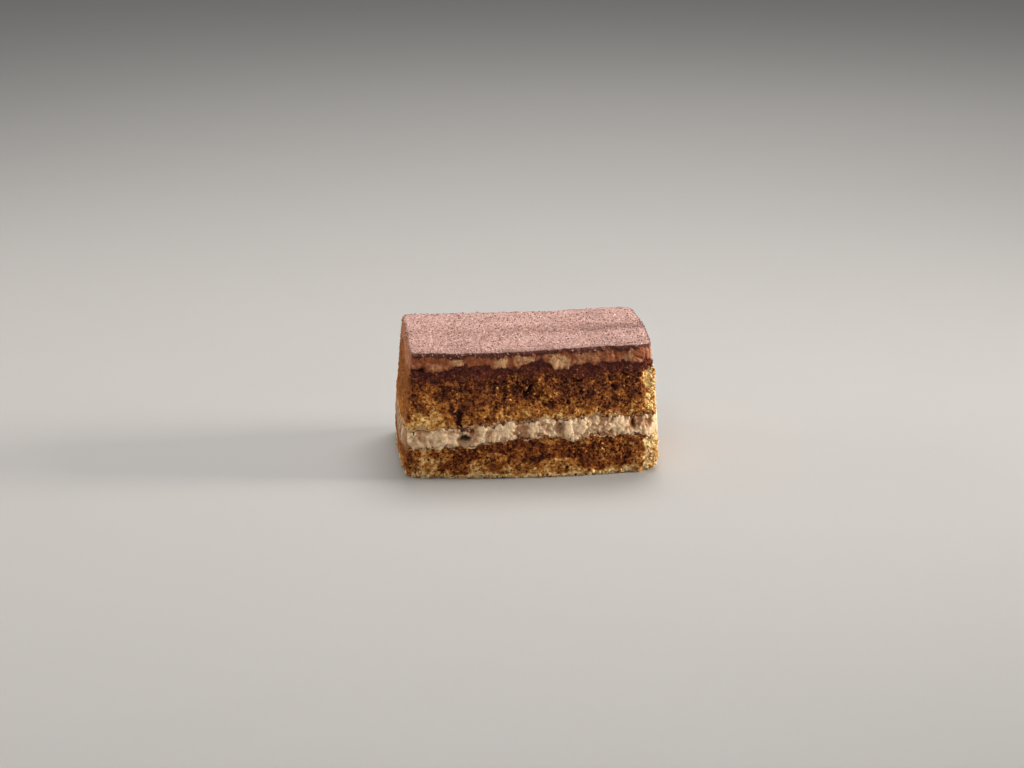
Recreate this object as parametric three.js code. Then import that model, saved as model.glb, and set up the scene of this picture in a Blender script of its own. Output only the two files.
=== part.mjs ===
// A portion of tiramisu cut from a tray: two soaked sponges, two bands of mascarpone cream,
// a seam of cocoa between the upper sponge and the upper cream, and cocoa sieved over the top.
//
// Millimetres, +Z up. The origin is the middle of the foot, where the portion rests. X runs
// along the long side from left to right, and the cut face that is shown looks along -Y.
//
// The block is a stack of layers. Every layer lies between two faces, and a face is a height
// over the plan: a level, a step from left to right, and soft folds. All layers share one side
// wall, which slumps outwards below the top, bellies in the middle of each side and is drawn
// in a little at the foot.

import * as THREE from "three";

// The block
const LENGTH = 79.6; // left to right along the top
const DEPTH = 48; // front to back along the top
const HEIGHT = 43.5; // level of the top face
const CORNER_RADIUS = 1.5; // upright corners, in plan
const SPREAD = 2.6; // how far the sides slump outwards between the top and the foot
const SPREAD_POWER = 2.2; // how late the slump sets in, counted from the foot up
const TUCK = 1.5; // how far the foot is drawn in
const TUCK_HEIGHT = 1.7; // height over which that fades
const END_BELLY_FOOT = 1.2; // how far the middle of each end stands out, at the foot
const END_BELLY_LEFT = 0.0; // the same at the top of the left end
const END_BELLY_RIGHT = 1.5; // and at the top of the right end
const FRONT_BELLY_TOP = 0.2; // how far the middle of the front and back stands out, at the top
const FRONT_BELLY_FOOT = 3.6; // the same at the foot
const LAYER_GAP = 0.3; // clearance between two layers
const COCOA_DEPTH = 1.1; // thickness of the sieved cocoa

// Grid of each layer
const CELLS_LONG = 26; // cells along X on a face
const CELLS_DEEP = 10; // cells along Y on a face
const WALL_ROWS = 3; // rows up a layer's wall
const FOOT_ROWS = 6; // rows up the wall that stands on the foot, where it curves in
const FOOT_CROWDING = 1.8; // power that crowds those rows towards the foot
const EDGE_CROWDING = 0.3; // 0 spaces the grid evenly, 1 crowds it towards the corners

// The faces, from the foot up. level is a height; step raises the right end over the left by
// twice its rise, around x = at; folds are ridges (or troughs) that run from front to back.
const FACES = {
  foot: { level: 0, folds: [] },
  sponge_top: {
    level: 11.9,
    step: { rise: 1.5, at: -20, width: 10 },
    folds: [
      { rise: 1.4, at: 6.5, width: 6 },
      { rise: -1.7, at: 15, width: 4.5 },
    ],
  },
  cream_top: {
    level: 18.2,
    step: { rise: 1.6, at: -18, width: 8 },
    folds: [{ rise: -0.8, at: 12, width: 6 }],
  },
  crumb_top: {
    level: 34.3,
    folds: [
      { rise: -1.1, at: -37, width: 6 },
      { rise: 1.1, at: 1, width: 9 },
      { rise: -1.9, at: 17, width: 7 },
      { rise: 1.2, at: 40, width: 8 },
    ],
  },
  seam_top: {
    level: 37.2,
    folds: [
      { rise: -1.5, at: -35, width: 6 },
      { rise: 1.2, at: -18, width: 6 },
      { rise: 2.0, at: 1.5, width: 6 },
      { rise: -2.3, at: 9.8, width: 3.4 },
      { rise: 0.8, at: 37, width: 8 },
    ],
  },
  cream_level: {
    level: HEIGHT - COCOA_DEPTH,
    step: { rise: 0.4, at: -12, width: 10 },
    folds: [{ rise: -1.0, at: -4, width: 23 }],
  },
  top: {
    level: HEIGHT,
    step: { rise: 0.4, at: -12, width: 10 },
    folds: [{ rise: -1.0, at: -4, width: 23 }],
  },
};
const FOLD_DRIFT = 0.22; // how far a fold shifts along X for each millimetre of depth
const ROLL_RISE = 0.45; // slow roll of every inner face from front to back
const ROLL_LENGTH = 34; // its wavelength along Y
const ROLL_SKEW = 60; // its wavelength along X
const TROUGH_DEPTH = 0.45; // shallow trough that runs along the top face
const TROUGH_PLACE = -5; // its place in Y
const TROUGH_WIDTH = 5; // its half width

// The layers, from the foot up: which faces they lie between and how they are finished.
const LAYERS = [
  { name: "sponge_lower", low: "foot", high: "sponge_top", colour: 0xa4713a, roughness: 0.95 },
  { name: "cream_lower", low: "sponge_top", high: "cream_top", colour: 0xd9c3a0, roughness: 0.55 },
  { name: "sponge_upper", low: "cream_top", high: "crumb_top", colour: 0x7a4a22, roughness: 0.95 },
  { name: "cocoa_seam", low: "crumb_top", high: "seam_top", colour: 0x42231a, roughness: 0.9 },
  { name: "cream_upper", low: "seam_top", high: "cream_level", colour: 0xa9764c, roughness: 0.6 },
  { name: "cocoa_top", low: "cream_level", high: "top", colour: 0xa07262, roughness: 1.0 },
];

const mix = (a, b, t) => a + (b - a) * t;
const hump = (offset, width) => Math.exp(-((offset / width) ** 2));

/** Height of a face over the plan point (x, y). */
function faceHeight(name, x, y) {
  const face = FACES[name];
  if (name === "foot") return face.level;
  const drift = FOLD_DRIFT * (y + DEPTH / 2);
  let z = face.level;
  if (face.step) z += face.step.rise * Math.tanh((x - face.step.at) / face.step.width);
  for (const fold of face.folds) z += fold.rise * hump(x - drift - fold.at, fold.width);
  if (name === "top" || name === "cream_level") {
    return z - TROUGH_DEPTH * hump(y - TROUGH_PLACE, TROUGH_WIDTH);
  }
  return z + ROLL_RISE * Math.sin(2 * Math.PI * ((y + DEPTH / 2) / ROLL_LENGTH + x / ROLL_SKEW));
}

/** How far the side wall stands outside the top edge at height z. */
function slump(z) {
  const share = Math.min(Math.max(z / HEIGHT, 0), 1);
  return SPREAD * (1 - share ** SPREAD_POWER) - TUCK * Math.exp(-z / TUCK_HEIGHT);
}

/**
 * Plan point of the block for (u, v) in the square from -1 to 1, at height z. The edge of the
 * square is the side wall. Each corner of the rectangle is turned into a quarter circle.
 */
function planPoint(u, v, z) {
  const out = slump(z);
  const share = Math.min(z / HEIGHT, 1);
  const belly = mix(FRONT_BELLY_FOOT, FRONT_BELLY_TOP, share);
  const endBelly = mix(END_BELLY_FOOT, mix(END_BELLY_LEFT, END_BELLY_RIGHT, (u + 1) / 2), share ** 2);
  const x = u * (LENGTH / 2 + out);
  const y = v * (DEPTH / 2 + out);
  const coreX = LENGTH / 2 + out - CORNER_RADIUS;
  const coreY = DEPTH / 2 + out - CORNER_RADIUS;
  const nearX = THREE.MathUtils.clamp(x, -coreX, coreX);
  const nearY = THREE.MathUtils.clamp(y, -coreY, coreY);
  const offX = x - nearX;
  const offY = y - nearY;
  const round = Math.max(Math.abs(offX), Math.abs(offY)) / (Math.hypot(offX, offY) || 1);
  const turned = offX !== 0 && offY !== 0 ? round : 1;
  return {
    x: nearX + offX * turned + u * endBelly * (1 - v * v),
    y: nearY + offY * turned + v * belly * (1 - u * u),
  };
}

/** A point on a face: its height is taken at the plan point of the face's own level. */
function facePoint(name, u, v) {
  const level = FACES[name].level;
  const plan = planPoint(u, v, level);
  const z = faceHeight(name, plan.x, plan.y);
  const edge = planPoint(u, v, z);
  return new THREE.Vector3(edge.x, edge.y, z);
}

/** Evenly spaced values from -1 to 1, crowded towards both ends. */
function crowded(cells) {
  return Array.from({ length: cells + 1 }, (_, i) => {
    const w = (2 * i) / cells - 1;
    return mix(w, Math.sin((Math.PI / 2) * w), EDGE_CROWDING);
  });
}

/** The grid's edge points, once round the plan against the clock, starting at (-1, -1). */
function rim(us, vs) {
  const m = us.length - 1;
  const n = vs.length - 1;
  const ids = [];
  for (let i = 0; i < m; i++) ids.push([i, 0]);
  for (let j = 0; j < n; j++) ids.push([m, j]);
  for (let i = m; i > 0; i--) ids.push([i, n]);
  for (let j = n; j > 0; j--) ids.push([0, j]);
  return ids;
}

/** One closed layer between two faces: a grid below, a grid above and a wall round the rim. */
function layerGeometry(low, high) {
  const us = crowded(CELLS_LONG);
  const vs = crowded(CELLS_DEEP);
  const points = [];
  const faces = [];
  const liftLow = low === "foot" ? 0 : LAYER_GAP / 2;
  const dropHigh = high === "top" ? 0 : LAYER_GAP / 2;
  const row = vs.length;
  const ends = [
    { name: low, lift: liftLow },
    { name: high, lift: -dropHigh },
  ];
  for (const end of ends) {
    for (const u of us) {
      for (const v of vs) {
        const p = facePoint(end.name, u, v);
        points.push(p.x, p.y, p.z + end.lift);
      }
    }
  }
  const top = us.length * row;
  for (let i = 0; i < CELLS_LONG; i++) {
    for (let j = 0; j < CELLS_DEEP; j++) {
      const a = i * row + j;
      const [b, c, d] = [a + row, a + row + 1, a + 1];
      faces.push(a, d, c, a, c, b); // the lower grid looks down
      faces.push(top + a, top + b, top + c, top + a, top + c, top + d);
    }
  }
  const ring = rim(us, vs);
  const rows = [ring.map(([i, j]) => i * row + j)];
  const steps = low === "foot" ? FOOT_ROWS : WALL_ROWS;
  const crowding = low === "foot" ? FOOT_CROWDING : 1;
  for (let k = 1; k < steps; k++) {
    const started = points.length / 3;
    for (const [i, j] of ring) {
      const below = facePoint(low, us[i], vs[j]).z + liftLow;
      const above = facePoint(high, us[i], vs[j]).z - dropHigh;
      const z = mix(below, above, (k / steps) ** crowding);
      const edge = planPoint(us[i], vs[j], z);
      points.push(edge.x, edge.y, z);
    }
    rows.push(ring.map((_, n) => started + n));
  }
  rows.push(ring.map(([i, j]) => top + i * row + j));
  for (let k = 0; k < steps; k++) {
    for (let n = 0; n < ring.length; n++) {
      const next = (n + 1) % ring.length;
      const [a, b, c, d] = [rows[k][n], rows[k][next], rows[k + 1][next], rows[k + 1][n]];
      faces.push(a, b, c, a, c, d);
    }
  }
  const geometry = new THREE.BufferGeometry();
  geometry.setAttribute("position", new THREE.Float32BufferAttribute(points, 3));
  geometry.setIndex(faces);
  geometry.computeVertexNormals();
  return geometry;
}

const portion = new THREE.Group();
portion.name = "tiramisu_portion";
for (const { name, low, high, colour, roughness } of LAYERS) {
  const material = new THREE.MeshStandardMaterial({ color: colour, roughness, metalness: 0 });
  const mesh = new THREE.Mesh(layerGeometry(low, high), material);
  mesh.name = name;
  portion.add(mesh);
}

export default portion;
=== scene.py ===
"""The looks of a portion of tiramisu cut from a tray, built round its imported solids.

The frame holds the six layers at their real size. Here each layer becomes one fine closed mesh
that follows the same faces and the same side wall, with the pores of the sponges, the torn
lumps of the creams and the sieved grain of the cocoa as real relief. Loose crumbs and grains
lie on it as pieces of their own.

Inside this script lengths are millimetres, +Z up, with the origin in the middle of the foot.
X runs along the shown cut face from left to right, and that face looks along -Y. A mesh is
turned into metres when it is written.
"""

import logging
import math
from dataclasses import dataclass
from enum import Enum

import bpy
import numpy as np
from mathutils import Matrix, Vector


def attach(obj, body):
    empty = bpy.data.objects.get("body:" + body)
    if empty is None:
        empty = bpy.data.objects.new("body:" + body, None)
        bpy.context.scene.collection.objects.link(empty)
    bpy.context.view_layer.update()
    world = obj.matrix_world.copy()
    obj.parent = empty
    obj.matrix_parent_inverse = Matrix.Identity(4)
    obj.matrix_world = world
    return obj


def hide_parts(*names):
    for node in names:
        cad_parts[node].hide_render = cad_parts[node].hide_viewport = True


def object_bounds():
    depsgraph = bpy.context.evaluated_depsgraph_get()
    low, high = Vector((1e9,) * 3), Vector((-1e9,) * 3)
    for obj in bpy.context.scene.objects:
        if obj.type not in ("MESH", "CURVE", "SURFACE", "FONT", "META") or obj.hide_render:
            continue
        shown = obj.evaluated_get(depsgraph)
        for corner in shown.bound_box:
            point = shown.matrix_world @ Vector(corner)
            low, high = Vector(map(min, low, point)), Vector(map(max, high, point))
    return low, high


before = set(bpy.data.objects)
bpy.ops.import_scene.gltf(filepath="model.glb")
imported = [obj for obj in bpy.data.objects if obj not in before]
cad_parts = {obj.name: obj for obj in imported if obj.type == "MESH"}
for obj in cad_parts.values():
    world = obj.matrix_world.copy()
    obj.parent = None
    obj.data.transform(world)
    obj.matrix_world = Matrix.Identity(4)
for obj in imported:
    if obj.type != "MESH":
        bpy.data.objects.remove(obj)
CAD_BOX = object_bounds()

MM = 0.001
LOG = logging.getLogger("tiramisu")
Array = np.ndarray
Masks = dict[str, np.ndarray]


# Noise ----------------------------------------------------------------------------------------

CUBE_CORNERS = np.array([(i, j, k) for i in (0, 1) for j in (0, 1) for k in (0, 1)])
CUBE_NEIGHBOURS = np.array([(i, j, k) for i in (-1, 0, 1) for j in (-1, 0, 1) for k in (-1, 0, 1)])
HASH_PRIMES = (0x8DA6B343, 0xD8163841, 0xCB1AB31F)
HASH_SEED = 0x9E3779B1
HASH_ROUNDS = ((16, 0x7FEB352D), (15, 0x846CA68B))
HASH_LAST_SHIFT = 16
WORD = 2**32


def scrambled(cells: Array, seed: int) -> Array:
    """Gives every lattice cell its own fixed random number.

    The three whole numbers of a cell are multiplied by large primes, joined by exclusive or,
    and mixed by two rounds of shift and multiply.

    Args:
        cells: Whole numbers, three to a cell.
        seed: Which set of random numbers to give.

    Returns:
        One number from 0 to 1 for each cell.
    """
    whole = cells.astype(np.int64).astype(np.uint32)
    mixed = np.full(whole.shape[:-1], (seed * HASH_SEED) % WORD, np.uint32)
    for axis, prime in enumerate(HASH_PRIMES):
        mixed = mixed ^ (whole[..., axis] * np.uint32(prime))
    for shift, factor in HASH_ROUNDS:
        mixed = (mixed ^ (mixed >> np.uint32(shift))) * np.uint32(factor)
    mixed = mixed ^ (mixed >> np.uint32(HASH_LAST_SHIFT))
    return mixed / WORD


def noise(points: Array, size: float, seed: int) -> Array:
    """Value noise: random numbers on a cubic lattice, blended by a quintic curve.

    Args:
        points: Places in millimetres, three numbers each.
        size: Width of one lattice cell.
        seed: Which set of random numbers to use.

    Returns:
        One number from -1 to 1 for each point.
    """
    place = points / size
    cell = np.floor(place)
    part = place - cell
    part = part**3 * (part * (part * 6 - 15) + 10)
    total = np.zeros(points.shape[:-1])
    for corner in CUBE_CORNERS:
        weight = np.prod(np.where(corner, part, 1 - part), axis=-1)
        total += weight * scrambled(cell + corner, seed)
    return 2 * total - 1


def fractal(points: Array, size: float, seed: int, octaves: int = 3, gain: float = 0.5) -> Array:
    """Sums octaves of noise, each half as wide as the last and gain times as strong.

    Args:
        points: Places in millimetres.
        size: Width of the widest octave.
        seed: Seed of the widest octave.
        octaves: How many octaves to sum.
        gain: Strength of an octave as a share of the one before.

    Returns:
        Numbers that mostly lie between -1 and 1.
    """
    total = np.zeros(points.shape[:-1])
    weight = 1.0
    for octave in range(octaves):
        total += weight * noise(points, size / 2**octave, seed + octave)
        weight *= gain
    return total


def warped(points: Array, size: float, reach: float, seed: int) -> Array:
    """Moves every point by noise, up to reach along each axis, so that round shapes turn crooked."""
    shift = [noise(points, size, seed + axis) for axis in range(3)]
    return points + reach * np.stack(shift, axis=-1)


def smooth_step(low: float, high: float, value: Array) -> Array:
    """Rises from 0 at low to 1 at high along a smooth curve; high may be the smaller one."""
    share = np.clip((value - low) / (high - low), 0, 1)
    return share * share * (3 - 2 * share)


def hump(offset: Array, width: float) -> Array:
    """A bell curve: one at no offset, and 1/e at one width."""
    return np.exp(-((offset / width) ** 2))


@dataclass(frozen=True)
class Pores:
    """Round air cells of one size range in a crumb, scattered one to a lattice cell.

    cell is the lattice's width, small and large are the radii, and share is how many of the
    lattice cells hold one.
    """

    cell: float
    small: float
    large: float
    share: float
    seed: int

    def depth(self, points: Array, inward: Array) -> Array:
        """How deep a knife cut lays the air cells open.

        Every lattice cell holds one sphere at a random place with a random radius, if its share
        says so. A point of the cut that lies in a sphere sinks along the inward normal to where
        it leaves the sphere: minus b plus the root of b squared minus c, with b the normal's part
        of the offset from the sphere's centre, and c its squared length less the squared radius.

        Args:
            points: Places on the smooth cut.
            inward: Unit normals that point into the food.

        Returns:
            The depth in millimetres, 0 on the solid crumb.
        """
        deepest = np.zeros(points.shape[:-1])
        base = np.floor(points / self.cell)
        for neighbour in CUBE_NEIGHBOURS:
            corner = base + neighbour
            spread = [scrambled(corner, self.seed + axis) for axis in range(3)]
            centre = (corner + np.stack(spread, axis=-1)) * self.cell
            radius = self.small + (self.large - self.small) * scrambled(corner, self.seed + 3) ** 2
            radius = radius * (scrambled(corner, self.seed + 4) < self.share)
            away = points - centre
            along = np.sum(away * inward, axis=-1)
            rest = np.sum(away * away, axis=-1) - radius**2
            reach = np.sqrt(np.maximum(along**2 - rest, 0)) - along
            deepest = np.where(rest < 0, np.maximum(deepest, reach), deepest)
        return deepest


# The block ------------------------------------------------------------------------------------


@dataclass(frozen=True)
class Fold:
    """A ridge, or a trough where its rise is negative, or the place of a step."""

    rise: float
    at: float
    width: float


@dataclass(frozen=True)
class Ragged:
    """How unevenly a face comes out at the side wall: slow waves, hanging lobes, teeth and drags.

    Each is the reach of one kind in millimetres, and the sizes are how wide their noise is.
    """

    waves: float = 0.0
    lobes: float = 0.0
    teeth: float = 0.0
    drags: float = 0.0
    wave_size: float = 5.0
    lobe_size: float = 3.4
    lobe_level: float = 0.4
    tooth_size: float = 1.1
    drag_size: float = 0.9


@dataclass(frozen=True)
class FaceShape:
    """One face between two layers, as a level with a step and folds."""

    level: float
    step: Fold | None = None
    folds: tuple[Fold, ...] = ()
    rolls: bool = True
    ragged: Ragged = Ragged()


TOP_STEP = Fold(0.4, -12, 10)
TOP_SAG = Fold(-1.0, -4, 23)


class Face(Enum):
    """The faces from the foot up, the same as the solids' own."""

    FOOT = FaceShape(0, rolls=False)
    SPONGE_TOP = FaceShape(
        11.9, Fold(1.5, -20, 10), (Fold(1.4, 6.5, 6), Fold(-1.7, 15, 4.5)),
        ragged=Ragged(waves=0.5, lobes=0.9, teeth=0.3, drags=0.4),
    )
    CREAM_TOP = FaceShape(
        18.2, Fold(1.6, -18, 8), (Fold(-0.8, 12, 6),),
        ragged=Ragged(waves=0.6, lobes=-0.5, teeth=0.4, drags=0.4),
    )
    CRUMB_TOP = FaceShape(
        34.3, None, (Fold(-1.1, -37, 6), Fold(1.1, 1, 9), Fold(-1.9, 17, 7), Fold(1.2, 40, 8)),
        ragged=Ragged(waves=0.5, teeth=1.1, drags=0.2),
    )
    SEAM_TOP = FaceShape(
        37.2, None,
        (Fold(-1.5, -35, 6), Fold(1.2, -18, 6), Fold(2.0, 1.5, 6), Fold(-2.3, 9.8, 3.4), Fold(0.8, 37, 8)),
        ragged=Ragged(waves=0.5, teeth=0.6, drags=0.2),
    )
    CREAM_LEVEL = FaceShape(
        42.4, TOP_STEP, (TOP_SAG,), rolls=False, ragged=Ragged(waves=0.6, teeth=0.6, drags=0.5)
    )
    TOP = FaceShape(43.5, TOP_STEP, (TOP_SAG,), rolls=False)


@dataclass(frozen=True)
class Block:
    """The portion's plan and its side wall, in the form that the solids have.

    The shoulder alone is the skins' own: it rounds the worn corners of the right end.
    """

    length: float
    depth: float
    height: float
    corner_radius: float = 1.5
    spread: float = 2.6
    spread_power: float = 2.2
    tuck: float = 1.5
    tuck_height: float = 1.7
    end_belly_foot: float = 1.2
    end_belly_left: float = 0.0
    end_belly_right: float = 1.5
    front_belly_top: float = 0.2
    front_belly_foot: float = 3.6
    shoulder: float = 0.05
    shoulder_from: float = 0.84
    fold_drift: float = 0.22
    roll_rise: float = 0.45
    roll_length: float = 34.0
    roll_skew: float = 60.0
    trough_depth: float = 0.45
    trough_place: float = -5.0
    trough_width: float = 5.0

    @classmethod
    def from_frame(cls, low: Vector, high: Vector) -> "Block":
        """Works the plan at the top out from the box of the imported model.

        Args:
            low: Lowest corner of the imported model, in metres.
            high: Its highest corner.

        Returns:
            The block whose slumped and bellied side wall fills that box.
        """
        height = Face.TOP.value.level
        trial = cls(length=1.0, depth=1.0, height=height)
        levels = np.linspace(0, height, 200)
        slump = trial.slump(levels)
        belly = trial.front_belly(levels)
        right = slump + trial.end_belly(1.0, levels)
        left = slump + trial.end_belly(-1.0, levels)
        length = (high.x - low.x) / MM - right.max() - left.max()
        depth = (high.y - low.y) / MM - 2 * (slump + belly).max()
        return cls(length=length, depth=depth, height=height)

    def slump(self, z: Array) -> Array:
        """How far the side wall stands outside the top edge at height z.

        The spread falls off with a power of the height, and the foot is drawn in by a tuck that
        fades exponentially.
        """
        share = np.clip(z / self.height, 0, 1)
        return self.spread * (1 - share**self.spread_power) - self.tuck * np.exp(-z / self.tuck_height)

    def front_belly(self, z: Array) -> Array:
        """How far the middle of the front and the back stands out at height z, in a straight line."""
        share = np.clip(z / self.height, 0, 1)
        return self.front_belly_foot + (self.front_belly_top - self.front_belly_foot) * share

    def end_belly(self, u: Array, z: Array) -> Array:
        """How far the middle of an end stands out: from the foot's to its own, as the height squared.

        Args:
            u: -1 at the left end, 1 at the right one, between them a straight line.
            z: Height of each point.

        Returns:
            The reach in millimetres.
        """
        top = self.end_belly_left + (self.end_belly_right - self.end_belly_left) * (u + 1) / 2
        share = np.clip(z / self.height, 0, 1) ** 2
        return self.end_belly_foot + (top - self.end_belly_foot) * share

    def plan(self, u: Array, v: Array, z: Array) -> tuple[Array, Array]:
        """Maps the square from -1 to 1 onto the plan at height z.

        The square is stretched to the rectangle, its corners are turned into quarter circles,
        and each side bows out by its belly times one less the square of the way along it. Towards
        the right end the front and the back draw in by the shoulder, which rounds those corners.

        Args:
            u: Left to right, from -1 to 1.
            v: Front to back, from -1 to 1.
            z: Height of each point.

        Returns:
            X and Y of each point.
        """
        out = self.slump(z)
        half_x = self.length / 2 + out
        half_y = self.depth / 2 + out
        x = u * half_x
        y = v * half_y
        near_x = np.clip(x, self.corner_radius - half_x, half_x - self.corner_radius)
        near_y = np.clip(y, self.corner_radius - half_y, half_y - self.corner_radius)
        off_x = x - near_x
        off_y = y - near_y
        reach = np.hypot(off_x, off_y)
        square = np.maximum(np.abs(off_x), np.abs(off_y))
        turned = np.where((off_x != 0) & (off_y != 0), square / np.maximum(reach, 1e-9), 1.0)
        x = near_x + off_x * turned + u * self.end_belly(u, z) * (1 - v * v)
        y = near_y + off_y * turned + v * self.front_belly(z) * (1 - u * u)
        worn = self.shoulder * smooth_step(self.shoulder_from, 1.0, u) ** 2
        return x, y * (1 - worn)

    def face_height(self, face: Face, x: Array, y: Array) -> Array:
        """Height of a face over the plan.

        The level, a step as a hyperbolic tangent across X, bell-shaped folds that drift along X
        with the depth, and a slow sine roll; the upper two faces have a shallow trough instead.

        Args:
            face: Which face.
            x: Left to right.
            y: Front to back.

        Returns:
            Z of each point.
        """
        shape = face.value
        from_front = y + self.depth / 2
        z = np.full(np.shape(x), float(shape.level))
        if shape.step:
            z = z + shape.step.rise * np.tanh((x - shape.step.at) / shape.step.width)
        for fold in shape.folds:
            z = z + fold.rise * hump(x - self.fold_drift * from_front - fold.at, fold.width)
        if shape.rolls:
            turns = from_front / self.roll_length + x / self.roll_skew
            return z + self.roll_rise * np.sin(2 * math.pi * turns)
        if face is Face.FOOT:
            return z
        return z - self.trough_depth * hump(y - self.trough_place, self.trough_width)

    def edge_height(self, face: Face, u: Array, v: Array) -> Array:
        """Height at which a face comes out at the side wall, with its ragged line.

        Slow noise makes the waves, the size of noise the round lobes that hang down between
        cusps, fine noise the teeth, and noise that changes only along the wall, squared to leave
        gaps, makes the drags of the knife, which pull downwards.

        Args:
            face: Which face.
            u: Left to right, from -1 to 1.
            v: Front to back, from -1 to 1.

        Returns:
            Z of each point.
        """
        x, y = self.plan(u, v, np.full(np.shape(u), float(face.value.level)))
        z = self.face_height(face, x, y)
        ragged = face.value.ragged
        place = np.stack((x, y, np.zeros_like(x)), axis=-1)
        seed = 100 + 10 * list(Face).index(face)
        z = z + ragged.waves * fractal(place, ragged.wave_size, seed, 2)
        lobe = np.minimum(2 * np.abs(noise(place, ragged.lobe_size, seed + 8)), 1)
        z = z + ragged.lobes * (ragged.lobe_level - lobe)
        z = z + ragged.teeth * fractal(place, ragged.tooth_size, seed + 3, 2)
        return z - ragged.drags * np.maximum(noise(place, ragged.drag_size, seed + 6), 0) ** 2


@dataclass(frozen=True)
class Rim:
    """Points of the plan square's edge, once round against the clock from the front left."""

    u: Array
    v: Array

    @classmethod
    def of_cells(cls, long: int, deep: int) -> "Rim":
        """The rim of a grid.

        Args:
            long: How many cells the grid has along X.
            deep: How many it has along Y.

        Returns:
            The rim, with one point a cell.
        """
        us = np.linspace(-1, 1, long + 1)
        vs = np.linspace(-1, 1, deep + 1)
        u = np.concatenate((us[:-1], np.ones(deep), us[:0:-1], -np.ones(deep)))
        v = np.concatenate((-np.ones(long), vs[:-1], np.ones(long), vs[:0:-1]))
        return cls(u, v)


# Meshes ---------------------------------------------------------------------------------------


@dataclass
class Skin:
    """A closed mesh in the making: places in millimetres, faces, and a number a point for each mask."""

    points: Array
    quads: Array
    triangles: Array
    masks: Masks

    def written(self, name: str) -> bpy.types.Object:
        """Writes the skin into a new object in metres, shaded smooth, with its masks as attributes.

        Args:
            name: Name of the object and its mesh.

        Returns:
            The object, at the origin of the scene.
        """
        mesh = bpy.data.meshes.new(name)
        corners = np.concatenate((self.quads.ravel(), self.triangles.ravel())).astype(np.int32)
        sizes = np.concatenate((np.full(len(self.quads), 4), np.full(len(self.triangles), 3)))
        starts = (np.cumsum(sizes) - sizes).astype(np.int32)
        mesh.vertices.add(len(self.points))
        mesh.vertices.foreach_set("co", (self.points * MM).astype(np.float32).ravel())
        mesh.loops.add(len(corners))
        mesh.loops.foreach_set("vertex_index", corners)
        mesh.polygons.add(len(sizes))
        mesh.polygons.foreach_set("loop_start", starts)
        mesh.update(calc_edges=True)
        mesh.shade_smooth()
        for mask, values in self.masks.items():
            layer = mesh.attributes.new(mask, "FLOAT", "POINT")
            layer.data.foreach_set("value", values.astype(np.float32))
        piece = bpy.data.objects.new(name, mesh)
        bpy.context.scene.collection.objects.link(piece)
        return piece


def lofted(rings: Array) -> Array:
    """Faces between rings of point numbers that are stacked from low to high.

    Args:
        rings: Point numbers, one row for each ring, running against the clock.

    Returns:
        Quads that look away from the axis on a wall, down on a lower cap and up on an upper one.
    """
    after = np.roll(rings, -1, axis=1)
    quads = np.stack((rings[:-1], after[:-1], after[1:], rings[1:]), axis=-1)
    return quads.reshape(-1, 4)


def fan(pole: int, ring: Array, upwards: bool) -> Array:
    """Triangles from a pole to a ring.

    Args:
        pole: Number of the point in the middle.
        ring: Point numbers round it, against the clock.
        upwards: Whether the triangles face up.

    Returns:
        Three point numbers for each triangle.
    """
    after = np.roll(ring, -1)
    tips = np.full(len(ring), pole)
    order = (tips, ring, after) if upwards else (tips, after, ring)
    return np.stack(order, axis=-1)


@dataclass
class Wall:
    """The smooth side wall of one layer, on a grid of rows from low to high and columns round it.

    share runs from 0 at the lower line to 1 at the upper one, and above and below are the
    distances from those two lines.
    """

    points: Array
    outward: Array
    share: Array
    above: Array
    below: Array

    @property
    def front(self) -> Array:
        """One on the shown cut face, falling to zero round its corners."""
        return smooth_step(0.55, 0.9, -self.outward[..., 1])

    @property
    def left(self) -> Array:
        """One on the left end, falling to zero round its corners."""
        return smooth_step(0.45, 0.95, -self.outward[..., 0])

    @property
    def right(self) -> Array:
        """One on the right end, falling to zero round its corners."""
        return smooth_step(0.6, 1.0, self.outward[..., 0])

    @property
    def corner(self) -> Array:
        """One in the middle of an upright corner, zero on the flats."""
        return smooth_step(0.25, 0.85, np.abs(2 * self.outward[..., 0] * self.outward[..., 1]))


@dataclass
class Surface:
    """Points of a finished surface and their outward normals, for what lies on it."""

    points: Array
    outward: Array

    def joined(self, other: "Surface") -> "Surface":
        """This surface and another one as one."""
        points = np.concatenate((self.points, other.points))
        return Surface(points, np.concatenate((self.outward, other.outward)))


SPOT_NOISE_SIZE = 2.2


@dataclass(frozen=True)
class Spot:
    """A place on the shown cut face where something differs: its middle, its half sizes and how much."""

    x: float
    z: float
    wide: float
    tall: float
    amount: float = 1.0


def spotted(wall: Wall, spots: tuple[Spot, ...], crooked: float, seed: int) -> Array:
    """Sums bell-shaped spots on the shown cut face, with outlines made crooked by noise.

    Args:
        wall: The wall they lie on.
        spots: Where they are.
        crooked: How far noise shifts an outline, in millimetres.
        seed: Seed of that noise.

    Returns:
        The sum of the spots' amounts at each point of the wall.
    """
    place = warped(wall.points, SPOT_NOISE_SIZE, crooked, seed)
    total = np.zeros(wall.share.shape)
    for spot in spots:
        across = hump(place[..., 0] - spot.x, spot.wide)
        total += spot.amount * across * hump(place[..., 2] - spot.z, spot.tall)
    return total * wall.front


# Finishes -------------------------------------------------------------------------------------

Colour = tuple[float, float, float, float]
Socket = bpy.types.NodeSocket
MIX_SHARE, MIX_FIRST, MIX_SECOND = 0, 6, 7
MIX_RESULT = 2


def srgb(red: int, green: int, blue: int) -> Colour:
    """Turns a colour written from 0 to 255 into the linear numbers that a shader takes.

    Args:
        red: Share of red.
        green: Share of green.
        blue: Share of blue.

    Returns:
        The colour with an alpha of one.
    """
    shares = np.array((red, green, blue)) / 255
    linear = np.where(shares <= 0.04045, shares / 12.92, ((shares + 0.055) / 1.055) ** 2.4)
    return (*(float(x) for x in linear), 1.0)


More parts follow.
